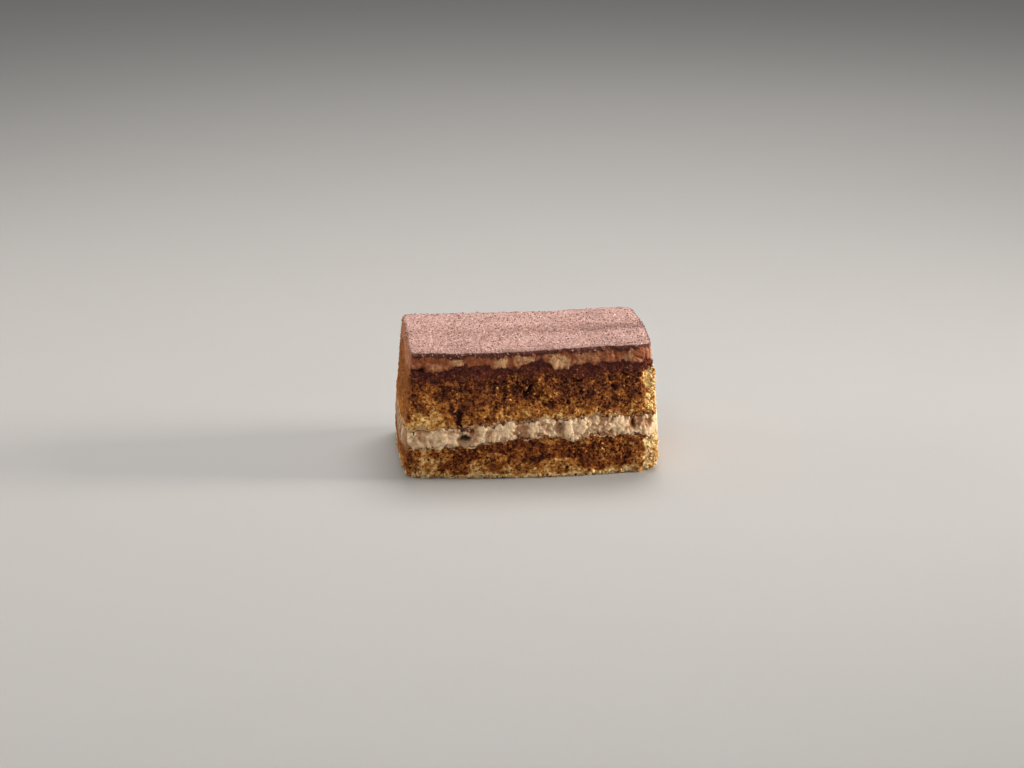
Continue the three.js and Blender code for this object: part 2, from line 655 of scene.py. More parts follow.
class Graph:
    """A node tree being wired, with short forms for the nodes that every finish uses."""

    def __init__(self, tree: bpy.types.NodeTree) -> None:
        """Takes the tree to wire and clears it."""
        self.tree = tree
        tree.nodes.clear()

    def node(self, kind: str, inputs: dict, **settings: object) -> bpy.types.Node:
        """Adds a node, sets it, and fills its inputs.

        Args:
            kind: The node's type name.
            inputs: For each input, by name or number, a socket to link or a plain value.
            settings: Properties of the node.

        Returns:
            The new node.
        """
        node = self.tree.nodes.new(kind)
        for key, value in settings.items():
            setattr(node, key, value)
        for key, value in inputs.items():
            if isinstance(value, Socket):
                self.tree.links.new(value, node.inputs[key])
            else:
                node.inputs[key].default_value = value
        return node

    def math(self, operation: str, first: object, second: object = 0.5) -> Socket:
        """One step of arithmetic on two numbers."""
        return self.node("ShaderNodeMath", {0: first, 1: second}, operation=operation).outputs[0]

    def plus(self, first: object, second: object) -> Socket:
        """The sum of two numbers."""
        return self.math("ADD", first, second)

    def times(self, first: object, second: object) -> Socket:
        """The product of two numbers."""
        return self.math("MULTIPLY", first, second)

    def between(self, value: object, low: object, high: object, start: float = 0, end: float = 1) -> Socket:
        """A smooth step of value from low to high, given out from start to end."""
        inputs = {"Value": value, "From Min": low, "From Max": high, "To Min": start, "To Max": end}
        return self.node("ShaderNodeMapRange", inputs, interpolation_type="SMOOTHSTEP").outputs[0]

    def mixed(self, share: object, first: object, second: object, blend: str = "MIX") -> Socket:
        """Mixes two colours by a share, plainly or by multiplying."""
        inputs = {MIX_SHARE: share, MIX_FIRST: first, MIX_SECOND: second}
        return self.node("ShaderNodeMix", inputs, data_type="RGBA", blend_type=blend).outputs[MIX_RESULT]

    def toned(self, colour: object, tone: object) -> Socket:
        """Makes a colour lighter or darker, by a number round 1."""
        grey = self.node("ShaderNodeCombineColor", {0: tone, 1: tone, 2: tone}).outputs[0]
        return self.mixed(1.0, colour, grey, "MULTIPLY")

    def ramp(self, value: object, stops: tuple[Colour, ...]) -> Socket:
        """Runs through evenly spaced colours, from the first at 0 to the last at 1.

        Args:
            value: Where on the ramp.
            stops: The colours.

        Returns:
            The colour there.
        """
        node = self.node("ShaderNodeValToRGB", {"Fac": value})
        elements = node.color_ramp.elements
        elements[0].color = stops[0]
        elements[-1].color = stops[-1]
        for number in range(1, len(stops) - 1):
            elements.new(number / (len(stops) - 1)).color = stops[number]
        return node.outputs["Color"]

    def mask(self, name: str) -> Socket:
        """Reads one of the masks that the mesh carries."""
        return self.node("ShaderNodeAttribute", {}, attribute_name=name).outputs["Fac"]

    def place(self) -> Socket:
        """Object coordinates, in metres."""
        return self.node("ShaderNodeTexCoord", {}).outputs["Object"]

    def stretched(self, vector: object, scale: tuple[float, float, float]) -> Socket:
        """Scales a place along each axis, so that a pattern on it is drawn out."""
        return self.node("ShaderNodeMapping", {"Vector": vector, "Scale": scale}).outputs[0]

    def grain(self, vector: object, size: float, detail: float = 4.0) -> Socket:
        """Noise of about the given size in millimetres, from 0 to 1."""
        inputs = {"Vector": vector, "Scale": 1 / (size * MM), "Detail": detail, "Roughness": 0.6}
        return self.node("ShaderNodeTexNoise", inputs).outputs["Fac"]

    def swing(self, vector: object, size: float, reach: float, detail: float = 3.0) -> Socket:
        """The same noise, centred on zero and made so many times as strong."""
        return self.times(self.math("SUBTRACT", self.grain(vector, size, detail), 0.5), reach)


class Effect(Enum):
    """Node groups that more than one finish uses."""

    BROKEN_MASK = "broken mask"
    FINE_CRUMB = "fine crumb"


def group_sockets(
    tree: bpy.types.NodeTree, inputs: dict[str, float | None], outputs: tuple[str, ...]
) -> None:
    """Names a group's sockets.

    Args:
        tree: The group.
        inputs: Each input's usual value, or None where the input is a vector.
        outputs: The names of its outputs, all of them numbers.
    """
    for name, value in inputs.items():
        kind = "NodeSocketVector" if value is None else "NodeSocketFloat"
        socket = tree.interface.new_socket(name, in_out="INPUT", socket_type=kind)
        if value is not None:
            socket.default_value = value
    for name in outputs:
        tree.interface.new_socket(name, in_out="OUTPUT", socket_type="NodeSocketFloat")


def broken_mask_group() -> bpy.types.NodeTree:
    """Breaks the edge of a mask up with grain, so that a stain or a smear ends unevenly.

    Returns:
        The group: a smooth step of the mask plus noise, taken Soft wide on both sides of one half.
    """
    tree = bpy.data.node_groups.new(Effect.BROKEN_MASK.value, "ShaderNodeTree")
    inputs = {"Vector": None, "Mask": 0.5, "Size": 1.0, "Break": 0.5, "Soft": 0.2}
    group_sockets(tree, inputs, ("Mask",))
    graph = Graph(tree)
    given = graph.node("NodeGroupInput", {}).outputs
    scale = graph.math("DIVIDE", 1 / MM, given["Size"])
    inputs = {"Vector": given["Vector"], "Scale": scale, "Detail": 5.0, "Roughness": 0.65}
    grain = graph.node("ShaderNodeTexNoise", inputs).outputs["Fac"]
    swing = graph.times(graph.math("SUBTRACT", grain, 0.5), given["Break"])
    moved = graph.plus(given["Mask"], graph.times(swing, 2.0))
    low = graph.math("SUBTRACT", 0.5, given["Soft"])
    high = graph.plus(0.5, given["Soft"])
    graph.node("NodeGroupOutput", {"Mask": graph.between(moved, low, high)})
    return tree


def fine_crumb_group() -> bpy.types.NodeTree:
    """The finest cells of a crumb or a powder, below what the mesh holds.

    Returns:
        The group: Pore is 1 in a cell's hollow, whose width differs from cell to cell, and the
        finishes darken by it as painted shade; Height is fine grain from 0 to 1, less the pore.
    """
    tree = bpy.data.node_groups.new(Effect.FINE_CRUMB.value, "ShaderNodeTree")
    inputs = {"Vector": None, "Size": 0.4, "Open": 0.4, "Grain": 0.5}
    group_sockets(tree, inputs, ("Pore", "Height"))
    graph = Graph(tree)
    given = graph.node("NodeGroupInput", {}).outputs
    scale = graph.math("DIVIDE", 1 / MM, given["Size"])
    sway = graph.node("ShaderNodeTexNoise", {"Vector": given["Vector"], "Scale": scale, "Detail": 2.0})
    inputs = {0: sway.outputs["Color"], 1: (0.5, 0.5, 0.5)}
    swung = graph.node("ShaderNodeVectorMath", inputs, operation="SUBTRACT")
    inputs = {0: swung.outputs[0], "Scale": graph.times(given["Size"], 0.9 * MM)}
    shift = graph.node("ShaderNodeVectorMath", inputs, operation="SCALE")
    inputs = {0: given["Vector"], 1: shift.outputs[0]}
    moved = graph.node("ShaderNodeVectorMath", inputs, operation="ADD")
    cells = graph.node("ShaderNodeTexVoronoi", {"Vector": moved.outputs[0], "Scale": scale})
    pick = graph.node("ShaderNodeSeparateColor", {0: cells.outputs["Color"]}).outputs[0]
    radius = graph.times(pick, given["Open"])
    edge = (graph.plus(radius, 0.12), graph.math("SUBTRACT", radius, 0.1))
    # The hollow of each cell, which the finishes use as painted shade.
    pore = graph.between(cells.outputs["Distance"], *edge)
    inputs = {"Vector": given["Vector"], "Scale": graph.times(scale, 1.6), "Detail": 6.0}
    tone = graph.node("ShaderNodeTexNoise", inputs).outputs["Fac"]
    height = graph.math("SUBTRACT", graph.times(tone, given["Grain"]), pore)
    graph.node("NodeGroupOutput", {"Pore": pore, "Height": height})
    return tree


def effect(graph: Graph, kind: Effect, **inputs: object) -> bpy.types.Node:
    """Places a shared effect in a finish with its own values.

    Args:
        graph: The finish being wired.
        kind: Which effect.
        inputs: The values or sockets for its named inputs.

    Returns:
        The group node.
    """
    makers = {Effect.BROKEN_MASK: broken_mask_group, Effect.FINE_CRUMB: fine_crumb_group}
    tree = bpy.data.node_groups.get(kind.value) or makers[kind]()
    return graph.node("ShaderNodeGroup", inputs, node_tree=tree)


def broken(graph: Graph, place: Socket, mask: str, size: float, swing: float, soft: float) -> Socket:
    """One of the mesh's masks with its edge broken up.

    Args:
        graph: The finish being wired.
        place: Object coordinates.
        mask: Name of the mask.
        size: Size of the grain that breaks it, in millimetres.
        swing: How far the grain moves the edge.
        soft: How soft the edge is.

    Returns:
        The broken mask, from 0 to 1.
    """
    inputs = {"Vector": place, "Mask": graph.mask(mask), "Size": size, "Break": swing, "Soft": soft}
    return effect(graph, Effect.BROKEN_MASK, **inputs).outputs["Mask"]


def filmed(graph: Graph, place: Socket, base: Socket, film: Colour, share: float) -> Socket:
    """Lays the drawn film over a colour where the veil mask says, mottled and streaked from top to foot.

    Args:
        graph: The finish being wired.
        place: Object coordinates.
        base: The colour under the film.
        film: The film's own colour.
        share: How much of the base the film covers.

    Returns:
        The colour with the film on it.
    """
    streaks = graph.swing(graph.stretched(place, (1.0, 1.0, 0.2)), 0.9, 1.3)
    grains = graph.plus(graph.swing(place, 0.45, 1.6), graph.swing(place, 2.2, 1.3))
    tone = graph.plus(graph.plus(streaks, grains), 1.0)
    veil = broken(graph, place, "veil", 1.6, 0.7, 0.35)
    return graph.mixed(graph.times(veil, share), base, graph.toned(film, tone))


def shaded(graph: Graph, inputs: dict) -> None:
    """Ends a finish with a Principled shader that holds the given inputs."""
    shader = graph.node("ShaderNodeBsdfPrincipled", inputs)
    graph.node("ShaderNodeOutputMaterial", {"Surface": shader.outputs[0]})


def bumped(graph: Graph, height: object, distance: float, strength: float) -> Socket:
    """A normal raised by a height, with its full swing given in millimetres."""
    inputs = {"Height": height, "Distance": distance * MM, "Strength": strength}
    return graph.node("ShaderNodeBump", inputs).outputs[0]


def fresh_material(name: str) -> tuple[bpy.types.Material, Graph]:
    """A new node material.

    Args:
        name: Its name.

    Returns:
        The material and the graph that wires it.
    """
    material = bpy.data.materials.new(name)
    material.use_nodes = True
    return material, Graph(material.node_tree)


@dataclass(frozen=True)
class SpongeFinish:
    """Coffee-soaked sponge: its crumb runs from dark pores to pale grains, with smears of cream.

    crumb holds the colours from the darkest, the painted shade of the air cells, to the palest,
    which pale crumb and the painted glow of the right end reach. light_dry and light_soaked say
    where in that row dry and soaked crumb lie, light_pale_and_glow how much further up pale crumb
    and its painted glow lie, and swing how far the grain strays from there. open_share is how wide
    the fine cells are, and film_share and smear_share how much of the crumb the drawn film and
    the smears cover.
    """

    name: str
    crumb: tuple[Colour, ...]
    smear: Colour
    veil: Colour
    light_dry: float = 0.78
    light_soaked: float = 0.3
    light_pale_and_glow: float = 0.4
    swing: float = 1.15
    open_share: float = 0.6
    film_share: float = 0.45
    smear_share: float = 0.85
    roughness_dry: float = 0.9
    roughness_soaked: float = 0.72
    specular: float = 0.1

    def material(self) -> bpy.types.Material:
        """Wires the crumb.

        How light the crumb is comes from the soak mask, from the pale mask, which holds the painted
        glow of the right end, from grain in three sizes and from the fine cells; the pore mask
        and the fine cells darken the air cells as painted shade, the veil mask evens the crumb out
        under a drawn film, and the smear mask lays cream over all.

        Returns:
            The material.
        """
        material, graph = fresh_material(self.name)
        place = graph.place()
        soak = broken(graph, place, "soak", 2.4, 0.75, 0.45)
        veil = broken(graph, place, "veil", 1.8, 0.35, 0.35)
        wide = effect(graph, Effect.FINE_CRUMB, Vector=place, Size=0.9, Open=self.open_share, Grain=0.5)
        fine = effect(graph, Effect.FINE_CRUMB, Vector=place, Size=0.42, Open=self.open_share, Grain=0.8)
        swing = graph.plus(graph.swing(place, 1.1, self.swing), graph.swing(place, 0.38, 0.6 * self.swing))
        swing = graph.plus(swing, graph.swing(place, 2.8, 1.1 * self.swing))
        # Painted shade: the deeper the air cell, the darker the crumb.
        hollow = graph.plus(graph.times(wide.outputs["Pore"], 0.2), graph.times(fine.outputs["Pore"], 0.12))
        hollow = graph.plus(hollow, graph.times(graph.mask("pore"), 0.42))
        # The pale mask holds pale crumb and the painted glow of the light on the right end.
        pale = broken(graph, place, "pale", 1.6, 0.5, 0.5)
        calm = graph.times(graph.between(veil, 0, 1, 1.0, 0.6), graph.between(pale, 0, 1, 1.0, 0.4))
        swing = graph.times(graph.math("SUBTRACT", swing, hollow), calm)
        light = graph.plus(graph.between(soak, 0, 1, self.light_dry, self.light_soaked), swing)
        light = graph.plus(light, graph.times(pale, self.light_pale_and_glow))
        base = graph.ramp(light, self.crumb)
        base = filmed(graph, place, base, self.veil, self.film_share)
        smear = broken(graph, place, "smear", 0.9, 0.7, 0.2)
        base = graph.mixed(graph.times(smear, self.smear_share), base, self.smear)
        rough = graph.between(soak, 0, 1, self.roughness_dry, self.roughness_soaked)
        height = graph.plus(wide.outputs["Height"], graph.times(fine.outputs["Height"], 0.45))
        shaded(graph, {
            "Base Color": base, "Roughness": rough, "Normal": bumped(graph, height, 0.32, 0.85),
            "Specular IOR Level": self.specular, "Subsurface Weight": 0.15,
            "Subsurface Scale": 0.0012, "Subsurface Radius": (1.0, 0.5, 0.2),
        })
        return material


@dataclass(frozen=True)
class CreamFinish:
    """Mascarpone cream on a cut: ivory where clean, tan where coffee and crumbs were dragged over it.

    mottle, hole_shade_share and film_share are how much of the cream the mottling, the painted
    shade of the holes and the drawn film cover. The stain colour also serves as painted shade in
    the gaps, creases and hollows.
    """

    name: str
    clean: Colour
    tan: Colour
    stain_and_shade: Colour
    veil: Colour
    hole_shade: Colour = srgb(40, 15, 8)
    mottle: float = 0.3
    hole_shade_share: float = 0.92
    film_share: float = 0.85
    specular: float = 0.3

    def material(self) -> bpy.types.Material:
        """Wires the cream.

        The tan mask blends the two creams in blotches, grain mottles them, the stain_and_shade mask
        ends in broken edges of coffee brown that stand for stains and for painted shade, the
        pore mask darkens the holes as painted shade, and the veil mask lays the drawn film
        over all.

        Returns:
            The material.
        """
        material, graph = fresh_material(self.name)
        place = graph.place()
        base = graph.mixed(broken(graph, place, "tan", 1.2, 0.9, 0.5), self.clean, self.tan)
        mottle = graph.between(graph.grain(place, 1.0, 4.0), 0.42, 0.68)
        base = graph.mixed(graph.times(mottle, self.mottle), base, self.stain_and_shade)
        base = graph.mixed(broken(graph, place, "stain_and_shade", 0.65, 0.9, 0.22), base, self.stain_and_shade)
        speck = graph.plus(graph.swing(place, 0.4, 0.9), graph.swing(place, 1.3, 0.7))
        base = graph.toned(base, graph.plus(speck, 1.0))
        # Painted shade: holes and hollows are filled with a dark colour.
        base = graph.mixed(graph.times(graph.mask("pore"), self.hole_shade_share), base, self.hole_shade)
        base = filmed(graph, place, base, self.veil, self.film_share)
        rough = graph.between(graph.grain(place, 1.2, 3.0), 0.3, 0.7, 0.42, 0.68)
        fine = effect(graph, Effect.FINE_CRUMB, Vector=place, Size=0.55, Open=0.2, Grain=1.2)
        shaded(graph, {
            "Base Color": base, "Roughness": rough,
            "Normal": bumped(graph, fine.outputs["Height"], 0.1, 0.7),
            "Specular IOR Level": self.specular, "Subsurface Weight": 0.15,
            "Subsurface Scale": 0.001, "Subsurface Radius": (1.0, 0.7, 0.45),
        })
        return material


@dataclass(frozen=True)
class CocoaFinish:
    """Cocoa: dry and dusty where it was sieved, dark where the cream has wetted it.

    spark and fleck are its palest and darkest grains, and grain_swing is how strong its grain is.
    hollow_shade_share and film_share are how much of it the painted shade of the hollows and the film
    cover.
    """

    name: str
    dusty: Colour
    wet: Colour
    spark: Colour
    fleck: Colour
    veil: Colour
    grain_swing: float = 1.0
    hollow_shade_share: float = 0.6
    film_share: float = 0.88
    roughness_dry: float = 0.95
    roughness_wet: float = 0.7
    sheen: float = 0.2
    specular: float = 0.15

    def material(self) -> bpy.types.Material:
        """Wires the cocoa.

        The wet mask blends dusty and wetted cocoa with a broken edge, grain adds pale sparks and
        dark flecks, the fine cells and the pore mask darken the hollows between clumps as
        painted shade, and the veil mask lays the drawn film over all.

        Returns:
            The material.
        """
        material, graph = fresh_material(self.name)
        place = graph.place()
        wet = broken(graph, place, "wet", 0.8, 0.8, 0.35)
        crumb = effect(graph, Effect.FINE_CRUMB, Vector=place, Size=0.42, Open=0.3, Grain=1.0)
        streaks = graph.swing(graph.stretched(place, (0.3, 1.0, 1.0)), 3.5, 0.45, 5.0)
        tone = graph.plus(streaks, graph.swing(place, 1.0, 1.1 * self.grain_swing))
        tone = graph.plus(graph.plus(tone, graph.swing(place, 0.42, 1.2 * self.grain_swing)), 1.0)
        # Painted shade: the tone drops in the hollows of the fine cells.
        tone = graph.times(tone, graph.between(crumb.outputs["Pore"], 0, 1, 1.04, 0.78))
        dust = graph.mixed(graph.between(graph.grain(place, 0.5, 2.0), 0.6, 0.72), self.dusty, self.spark)
        dust = graph.mixed(graph.between(graph.grain(place, 0.62, 2.0), 0.4, 0.28), dust, self.fleck)
        base = graph.toned(graph.mixed(wet, dust, self.wet), tone)
        # Painted shade: low places between clumps take the dark wet colour.
        base = graph.mixed(graph.times(graph.mask("pore"), self.hollow_shade_share), base, self.wet)
        base = filmed(graph, place, base, self.veil, self.film_share)
        rough = graph.between(wet, 0, 1, self.roughness_dry, self.roughness_wet)
        shaded(graph, {
            "Base Color": base, "Roughness": rough,
            "Normal": bumped(graph, crumb.outputs["Height"], 0.16, 0.85),
            "Specular IOR Level": self.specular, "Sheen Weight": self.sheen,
            "Sheen Roughness": 0.5, "Sheen Tint": self.spark,
        })
        return material


Finish = SpongeFinish | CreamFinish | CocoaFinish


def dressed(piece: bpy.types.Object, finish: Finish) -> None:
    """Gives a piece its finish, which is wired once."""
    material = bpy.data.materials.get(finish.name) or finish.material()
    piece.data.materials.append(material)


SPONGE_LOWER = SpongeFinish(
    "sponge pale crumb",
    crumb=(
        srgb(44, 16, 8), srgb(112, 53, 21), srgb(168, 98, 40), srgb(208, 150, 78), srgb(246, 216, 158),
    ),
    smear=srgb(222, 192, 148), veil=srgb(144, 80, 30), light_dry=0.69, light_soaked=0.34, swing=1.0,
)
SPONGE_UPPER = SpongeFinish(
    "sponge soaked crumb",
    crumb=(
        srgb(38, 15, 9), srgb(91, 44, 24), srgb(148, 84, 41), srgb(198, 128, 54), srgb(246, 206, 132),
    ),
    smear=srgb(206, 170, 122), veil=srgb(174, 106, 43), light_dry=0.66, light_soaked=0.34,
)
CREAM_LOWER = CreamFinish(
    "cream ivory", clean=srgb(236, 203, 162), tan=srgb(160, 108, 68), stain_and_shade=srgb(94, 50, 25),
    veil=srgb(144, 100, 60), mottle=0.3,
)
CREAM_UPPER = CreamFinish(
    "cream stained", clean=srgb(198, 152, 106), tan=srgb(139, 71, 33), stain_and_shade=srgb(88, 40, 20),
    veil=srgb(164, 98, 46), mottle=0.4,
)
COCOA_SEAM = CocoaFinish(
    "cocoa wetted", dusty=srgb(112, 56, 38), wet=srgb(76, 32, 28), spark=srgb(186, 126, 68),
    fleck=srgb(30, 12, 8), veil=srgb(162, 96, 46), sheen=0.0, grain_swing=2.4,
)
COCOA_TOP = CocoaFinish(
    "cocoa sieved", dusty=srgb(168, 132, 122), wet=srgb(88, 46, 34), spark=srgb(240, 218, 210),
    fleck=srgb(120, 76, 62), veil=srgb(164, 98, 48), grain_swing=1.1,
)


# Layers ---------------------------------------------------------------------------------------


@dataclass
class Layer:
    """One layer of the portion as a closed mesh: a fine wall, and caps that its neighbours hide.

    The wall has cells_long, cells_deep and rows cells along X, along Y and upwards. Its lines
    overlap the neighbours', lips lead from them into the food, and the caps stop gap apart.
    """

    block: Block
    node: str
    slot: str
    low: Face
    high: Face
    finish: Finish
    cells_long: int = 390
    cells_deep: int = 225
    rows: int = 70
    lip: float = 1.4
    overlap: float = 0.12
    gap: float = 0.3
    crease: float = 0.2
    crease_width: float = 0.35
    cap_shares: tuple[float, ...] = (0.86, 0.55, 0.2)
    veil_share: float = 0.95
    veil_clouds: float = 0.45
    veil_size: float = 5.0
    seed: int = 1
    surface: Surface | None = None

    def wall(self) -> Wall:
        """Lays the smooth wall out between the two ragged lines of the layer's faces.

        Each column of the rim rises in even rows from the lower line to the upper one. The
        outward normal is the plan tangent turned by a right angle.

        Returns:
            The wall.
        """
        rim = Rim.of_cells(self.cells_long, self.cells_deep)
        low = self.block.edge_height(self.low, rim.u, rim.v)
        high = self.block.edge_height(self.high, rim.u, rim.v)
        share = np.linspace(0, 1, self.rows + 1)[:, None] * np.ones_like(rim.u)
        z = low + share * (high - low)
        x, y = self.block.plan(rim.u, rim.v, z)
        along_x = np.roll(x, -1, axis=1) - np.roll(x, 1, axis=1)
        along_y = np.roll(y, -1, axis=1) - np.roll(y, 1, axis=1)
        size = np.hypot(along_x, along_y)
        outward = np.stack((along_y / size, -along_x / size, np.zeros_like(z)), axis=-1)
        return Wall(np.stack((x, y, z), axis=-1), outward, share, z - low, high - z)

    def relief(self, wall: Wall, veil: Array) -> tuple[Array, Masks]:
        """The relief of the wall, which each kind of layer makes in its own way.

        Args:
            wall: The smooth wall.
            veil: Where the drawn film lies on it, which fills the relief.

        Returns:
            How far each point stands out, in millimetres, and the wall's masks.
        """
        raise NotImplementedError

    def veil(self, wall: Wall) -> Array:
        """Where a thin film of cream and crumb was drawn over the left end, in soft clouds."""
        clouds = fractal(wall.points * (1, 1, 0.5), self.veil_size, self.seed + 80, 3)
        return np.clip(wall.left * (self.veil_share + self.veil_clouds * clouds), 0, 1)

    def creased(self, wall: Wall) -> Array:
        """A groove where the layer meets its neighbours, in two bell curves; none at the foot."""
        low = 0.0 if self.low is Face.FOOT else hump(wall.above, self.crease_width)
        return -self.crease * (low + hump(wall.below, self.crease_width))

    def cap(self, face: Face, shift: float, shares: tuple[float, ...]) -> Array:
        """Rings of points across a hidden face.

        Args:
            face: Which face.
            shift: How far the rings lie over it.
            shares: How far out from the middle each ring lies, as a share of the way.

        Returns:
            The rings, in the order of the shares.
        """
        rim = Rim.of_cells(self.cells_long, self.cells_deep)
        share = np.array(shares)[:, None]
        level = np.full((len(shares), len(rim.u)), float(face.value.level))
        x, y = self.block.plan(share * rim.u, share * rim.v, level)
        z = self.block.face_height(face, x, y) + shift
        return np.stack((x, y, z), axis=-1)

    def tucked(self, wall: Wall, row: int, shift: float) -> Array:
        """A row of the wall, moved into the food by the lip.

        Args:
            wall: The smooth wall.
            row: Which row: the first or the last.
            shift: How far it moves upwards.

        Returns:
            The row as one ring.
        """
        inner = wall.points[row] - self.lip * wall.outward[row]
        inner[:, 2] += shift
        return inner[None]

    def dressed_wall(self) -> tuple[Wall, Array, Masks]:
        """The smooth wall, the same points with their relief, and the masks with the veil."""
        wall = self.wall()
        veil = self.veil(wall)
        push, masks = self.relief(wall, veil)
        masks["veil"] = veil
        outside = wall.points + push[..., None] * wall.outward
        self.surface = Surface(outside.reshape(-1, 3), wall.outward.reshape(-1, 3))
        return wall, outside, masks

    def skin(self) -> Skin:
        """Stacks the rings: pole, lower cap, lower lip, wall, upper lip, upper cap, pole.

        Returns:
            The closed skin, whose masks are zero on all that is hidden.
        """
        wall, outside, masks = self.dressed_wall()
        on_foot = self.low is Face.FOOT
        lower = self.cap(self.low, 0.0 if on_foot else self.gap / 2, self.cap_shares[::-1])
        upper = self.cap(self.high, -self.gap / 2, self.cap_shares)
        low_lip = self.tucked(wall, 0, 0.0 if on_foot else -self.overlap)
        high_lip = self.tucked(wall, -1, self.overlap)
        rings = np.concatenate((lower, low_lip, outside, high_lip, upper))
        before = len(lower) + 1
        count, around = rings.shape[:2]
        numbers = np.arange(count * around).reshape(count, around)
        poles = np.array([lower[0].mean(axis=0), upper[-1].mean(axis=0)])
        points = np.concatenate((rings.reshape(-1, 3), poles))
        triangles = np.concatenate((
            fan(count * around, numbers[0], upwards=False),
            fan(count * around + 1, numbers[-1], upwards=True),
        ))
        spread: Masks = {}
        for name, values in masks.items():
            full = np.zeros(len(points))
            full[before * around : (before + len(outside)) * around] = values.ravel()
            spread[name] = full
        return Skin(points, lofted(numbers), triangles, spread)

    def build(self) -> bpy.types.Object:
        """Makes the layer's piece, in the place of its solid.

        Returns:
            The piece, riding on the one body of the portion.
        """
        piece = self.skin().written(self.node + "_skin")
        dressed(piece, self.finish)
        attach(piece, "root")
        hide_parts(self.node)
        return piece


@dataclass
class SpongeLayer(Layer):
    """A sponge: a crumb with air cells in three sizes, cut open by the knife.

    roughness, drag_marks and grain are the reach of the uneven crumb in its three sizes, crumble
    is what the upright corners lose, and pit_depth is the depth of the named pits. The soak
    values set the share of coffee at the foot and at the top, and between which shares of the
    height it rises. painted_glow_from is the X beyond which the crumb is painted pale, as a glow
    of the light that falls on the right. A cell's painted shade is darkest from full_shade_depth
    on, and a cell hardly holds a smear from clear_depth on.
    """

    roughness: float = 0.34
    drag_marks: float = 0.1
    grain: float = 0.12
    crumble: float = 0.8
    pit_depth: float = 1.8
    full_shade_depth: float = 0.5
    clear_depth: float = 0.3
    pores: tuple[Pores, ...] = (
        Pores(3.4, 0.35, 0.9, 0.35, 11),
        Pores(1.4, 0.25, 0.55, 0.85, 23),
        Pores(0.85, 0.18, 0.38, 0.95, 37),
    )
    dark_spots: tuple[Spot, ...] = ()
    pale_spots: tuple[Spot, ...] = ()
    pits: tuple[Spot, ...] = ()
    soak_foot: float = 0.2
    soak_top: float = 0.9
    soak_low: float = 0.1
    soak_high: float = 0.7
    soak_clouds: float = 0.3
    soak_size: float = 6.0
    smear_reach: float = 0.9
    painted_glow_from: float = 36.6
    painted_glow_width: float = 3.0
    pale_size: float = 2.6
    fringe: float = 0.0

    def soak(self, wall: Wall) -> Array:
        """The share of coffee in the crumb.

        There is more towards the top, in slow clouds and in the named spots, and less where the
        crumb is pale.

        Args:
            wall: The smooth wall.

        Returns:
            The share at each of its points.
        """
        clouds = fractal(wall.points * (1, 1, 1.5), self.soak_size, self.seed + 40, 4, 0.6)
        rise = smooth_step(self.soak_low, self.soak_high, wall.share + 0.15 * clouds)
        base = self.soak_foot + (self.soak_top - self.soak_foot) * rise + self.soak_clouds * clouds
        return np.clip(base + self.dark(wall) - 0.7 * self.pale(wall), 0, 1)

    def dark(self, wall: Wall) -> Array:
        """Where the named dark spots lie."""
        return spotted(wall, self.dark_spots, 1.6, self.seed + 50)

    def pale(self, wall: Wall) -> Array:
        """Where the crumb is palest: beyond painted_glow_from on the right, in a fringe at the foot, in
        spots.

        Pale on the right is a painted glow of the light that falls round the right front corner.
        Less of it lies on the right end itself, close under the cream and in the dark spots.

        Args:
            wall: The smooth wall.

        Returns:
            How pale each of its points is, from 0 to 1.
        """
        crooked = fractal(wall.points, self.pale_size, self.seed + 90, 3)
        place = wall.points[..., 0] + 0.9 * crooked
        # Painted light: the crumb is made pale towards the right, as the glow where the light from the
        # right falls.
        right = smooth_step(self.painted_glow_from, self.painted_glow_from + self.painted_glow_width, place)
        right = 1.2 * right * smooth_step(0.0, 1.6, wall.below) * (1 - 0.75 * wall.right)
        fringe = self.fringe * smooth_step(3.0, 0.3, wall.points[..., 2] + 1.2 * crooked)
        spots = spotted(wall, self.pale_spots, 1.8, self.seed + 60) - self.dark(wall)
        return np.clip(right + fringe + spots, 0, 1)

    def relief(self, wall: Wall, veil: Array) -> tuple[Array, Masks]:
        """Uneven crumb less its open air cells, with crumbs lost along the upright corners.

        The air cells are shallower at the layer's lines, under the film and in pale crumb.

        Args:
            wall: The smooth wall.
            veil: Where the drawn film lies on it.

        Returns:
            How far each point stands out, and the masks pore, the painted shade of the air cells,
            soak, pale, with the painted glow on the right, and smear.
        """
        place = wall.points
        crooked = warped(place, 1.1, 0.4, self.seed)
        depth = np.zeros(wall.share.shape)
        for kind in self.pores:
            depth = np.maximum(depth, kind.depth(crooked * (1, 1, 1.12), -wall.outward))
        edge = smooth_step(0.0, 0.5, np.minimum(wall.above, wall.below))
        pale = self.pale(wall)
        depth = depth * (0.35 + 0.65 * edge) * (1 - 0.45 * veil) * (1 - 0.5 * pale)
        pit = spotted(wall, self.pits, 1.7, self.seed + 70)
        depth = depth + self.pit_depth * np.clip(pit, 0, 1)
        drags = noise(place * (1, 1, 0.25), 0.8, self.seed + 5)
        grain = fractal(place, 0.8, self.seed + 15, 2)
        uneven = fractal(place, 4.5, self.seed + 10, 4, 0.6)
        push = self.roughness * uneven + self.drag_marks * drags + self.grain * grain
        lost = np.maximum(fractal(place, 2.4, self.seed + 20, 2), -0.35)
        push = push - self.crumble * wall.corner * lost
        push = push - depth + self.creased(wall)
        near = wall.below if self.low is Face.FOOT else wall.above
        patches = fractal(place * (1, 1, 0.55), 2.4, self.seed + 30, 3)
        smear = 0.8 - near / self.smear_reach + 0.45 * patches + 0.3 * veil
        masks = {
            # Painted shade: the deeper an air cell, the darker its colour.
            "pore": np.clip(depth / self.full_shade_depth, 0, 1),
            "soak": self.soak(wall),
            "pale": pale,
            "smear": np.clip(smear, 0, 1) * (1 - 0.8 * np.clip(depth / self.clear_depth, 0, 1)),
        }
        return push, masks


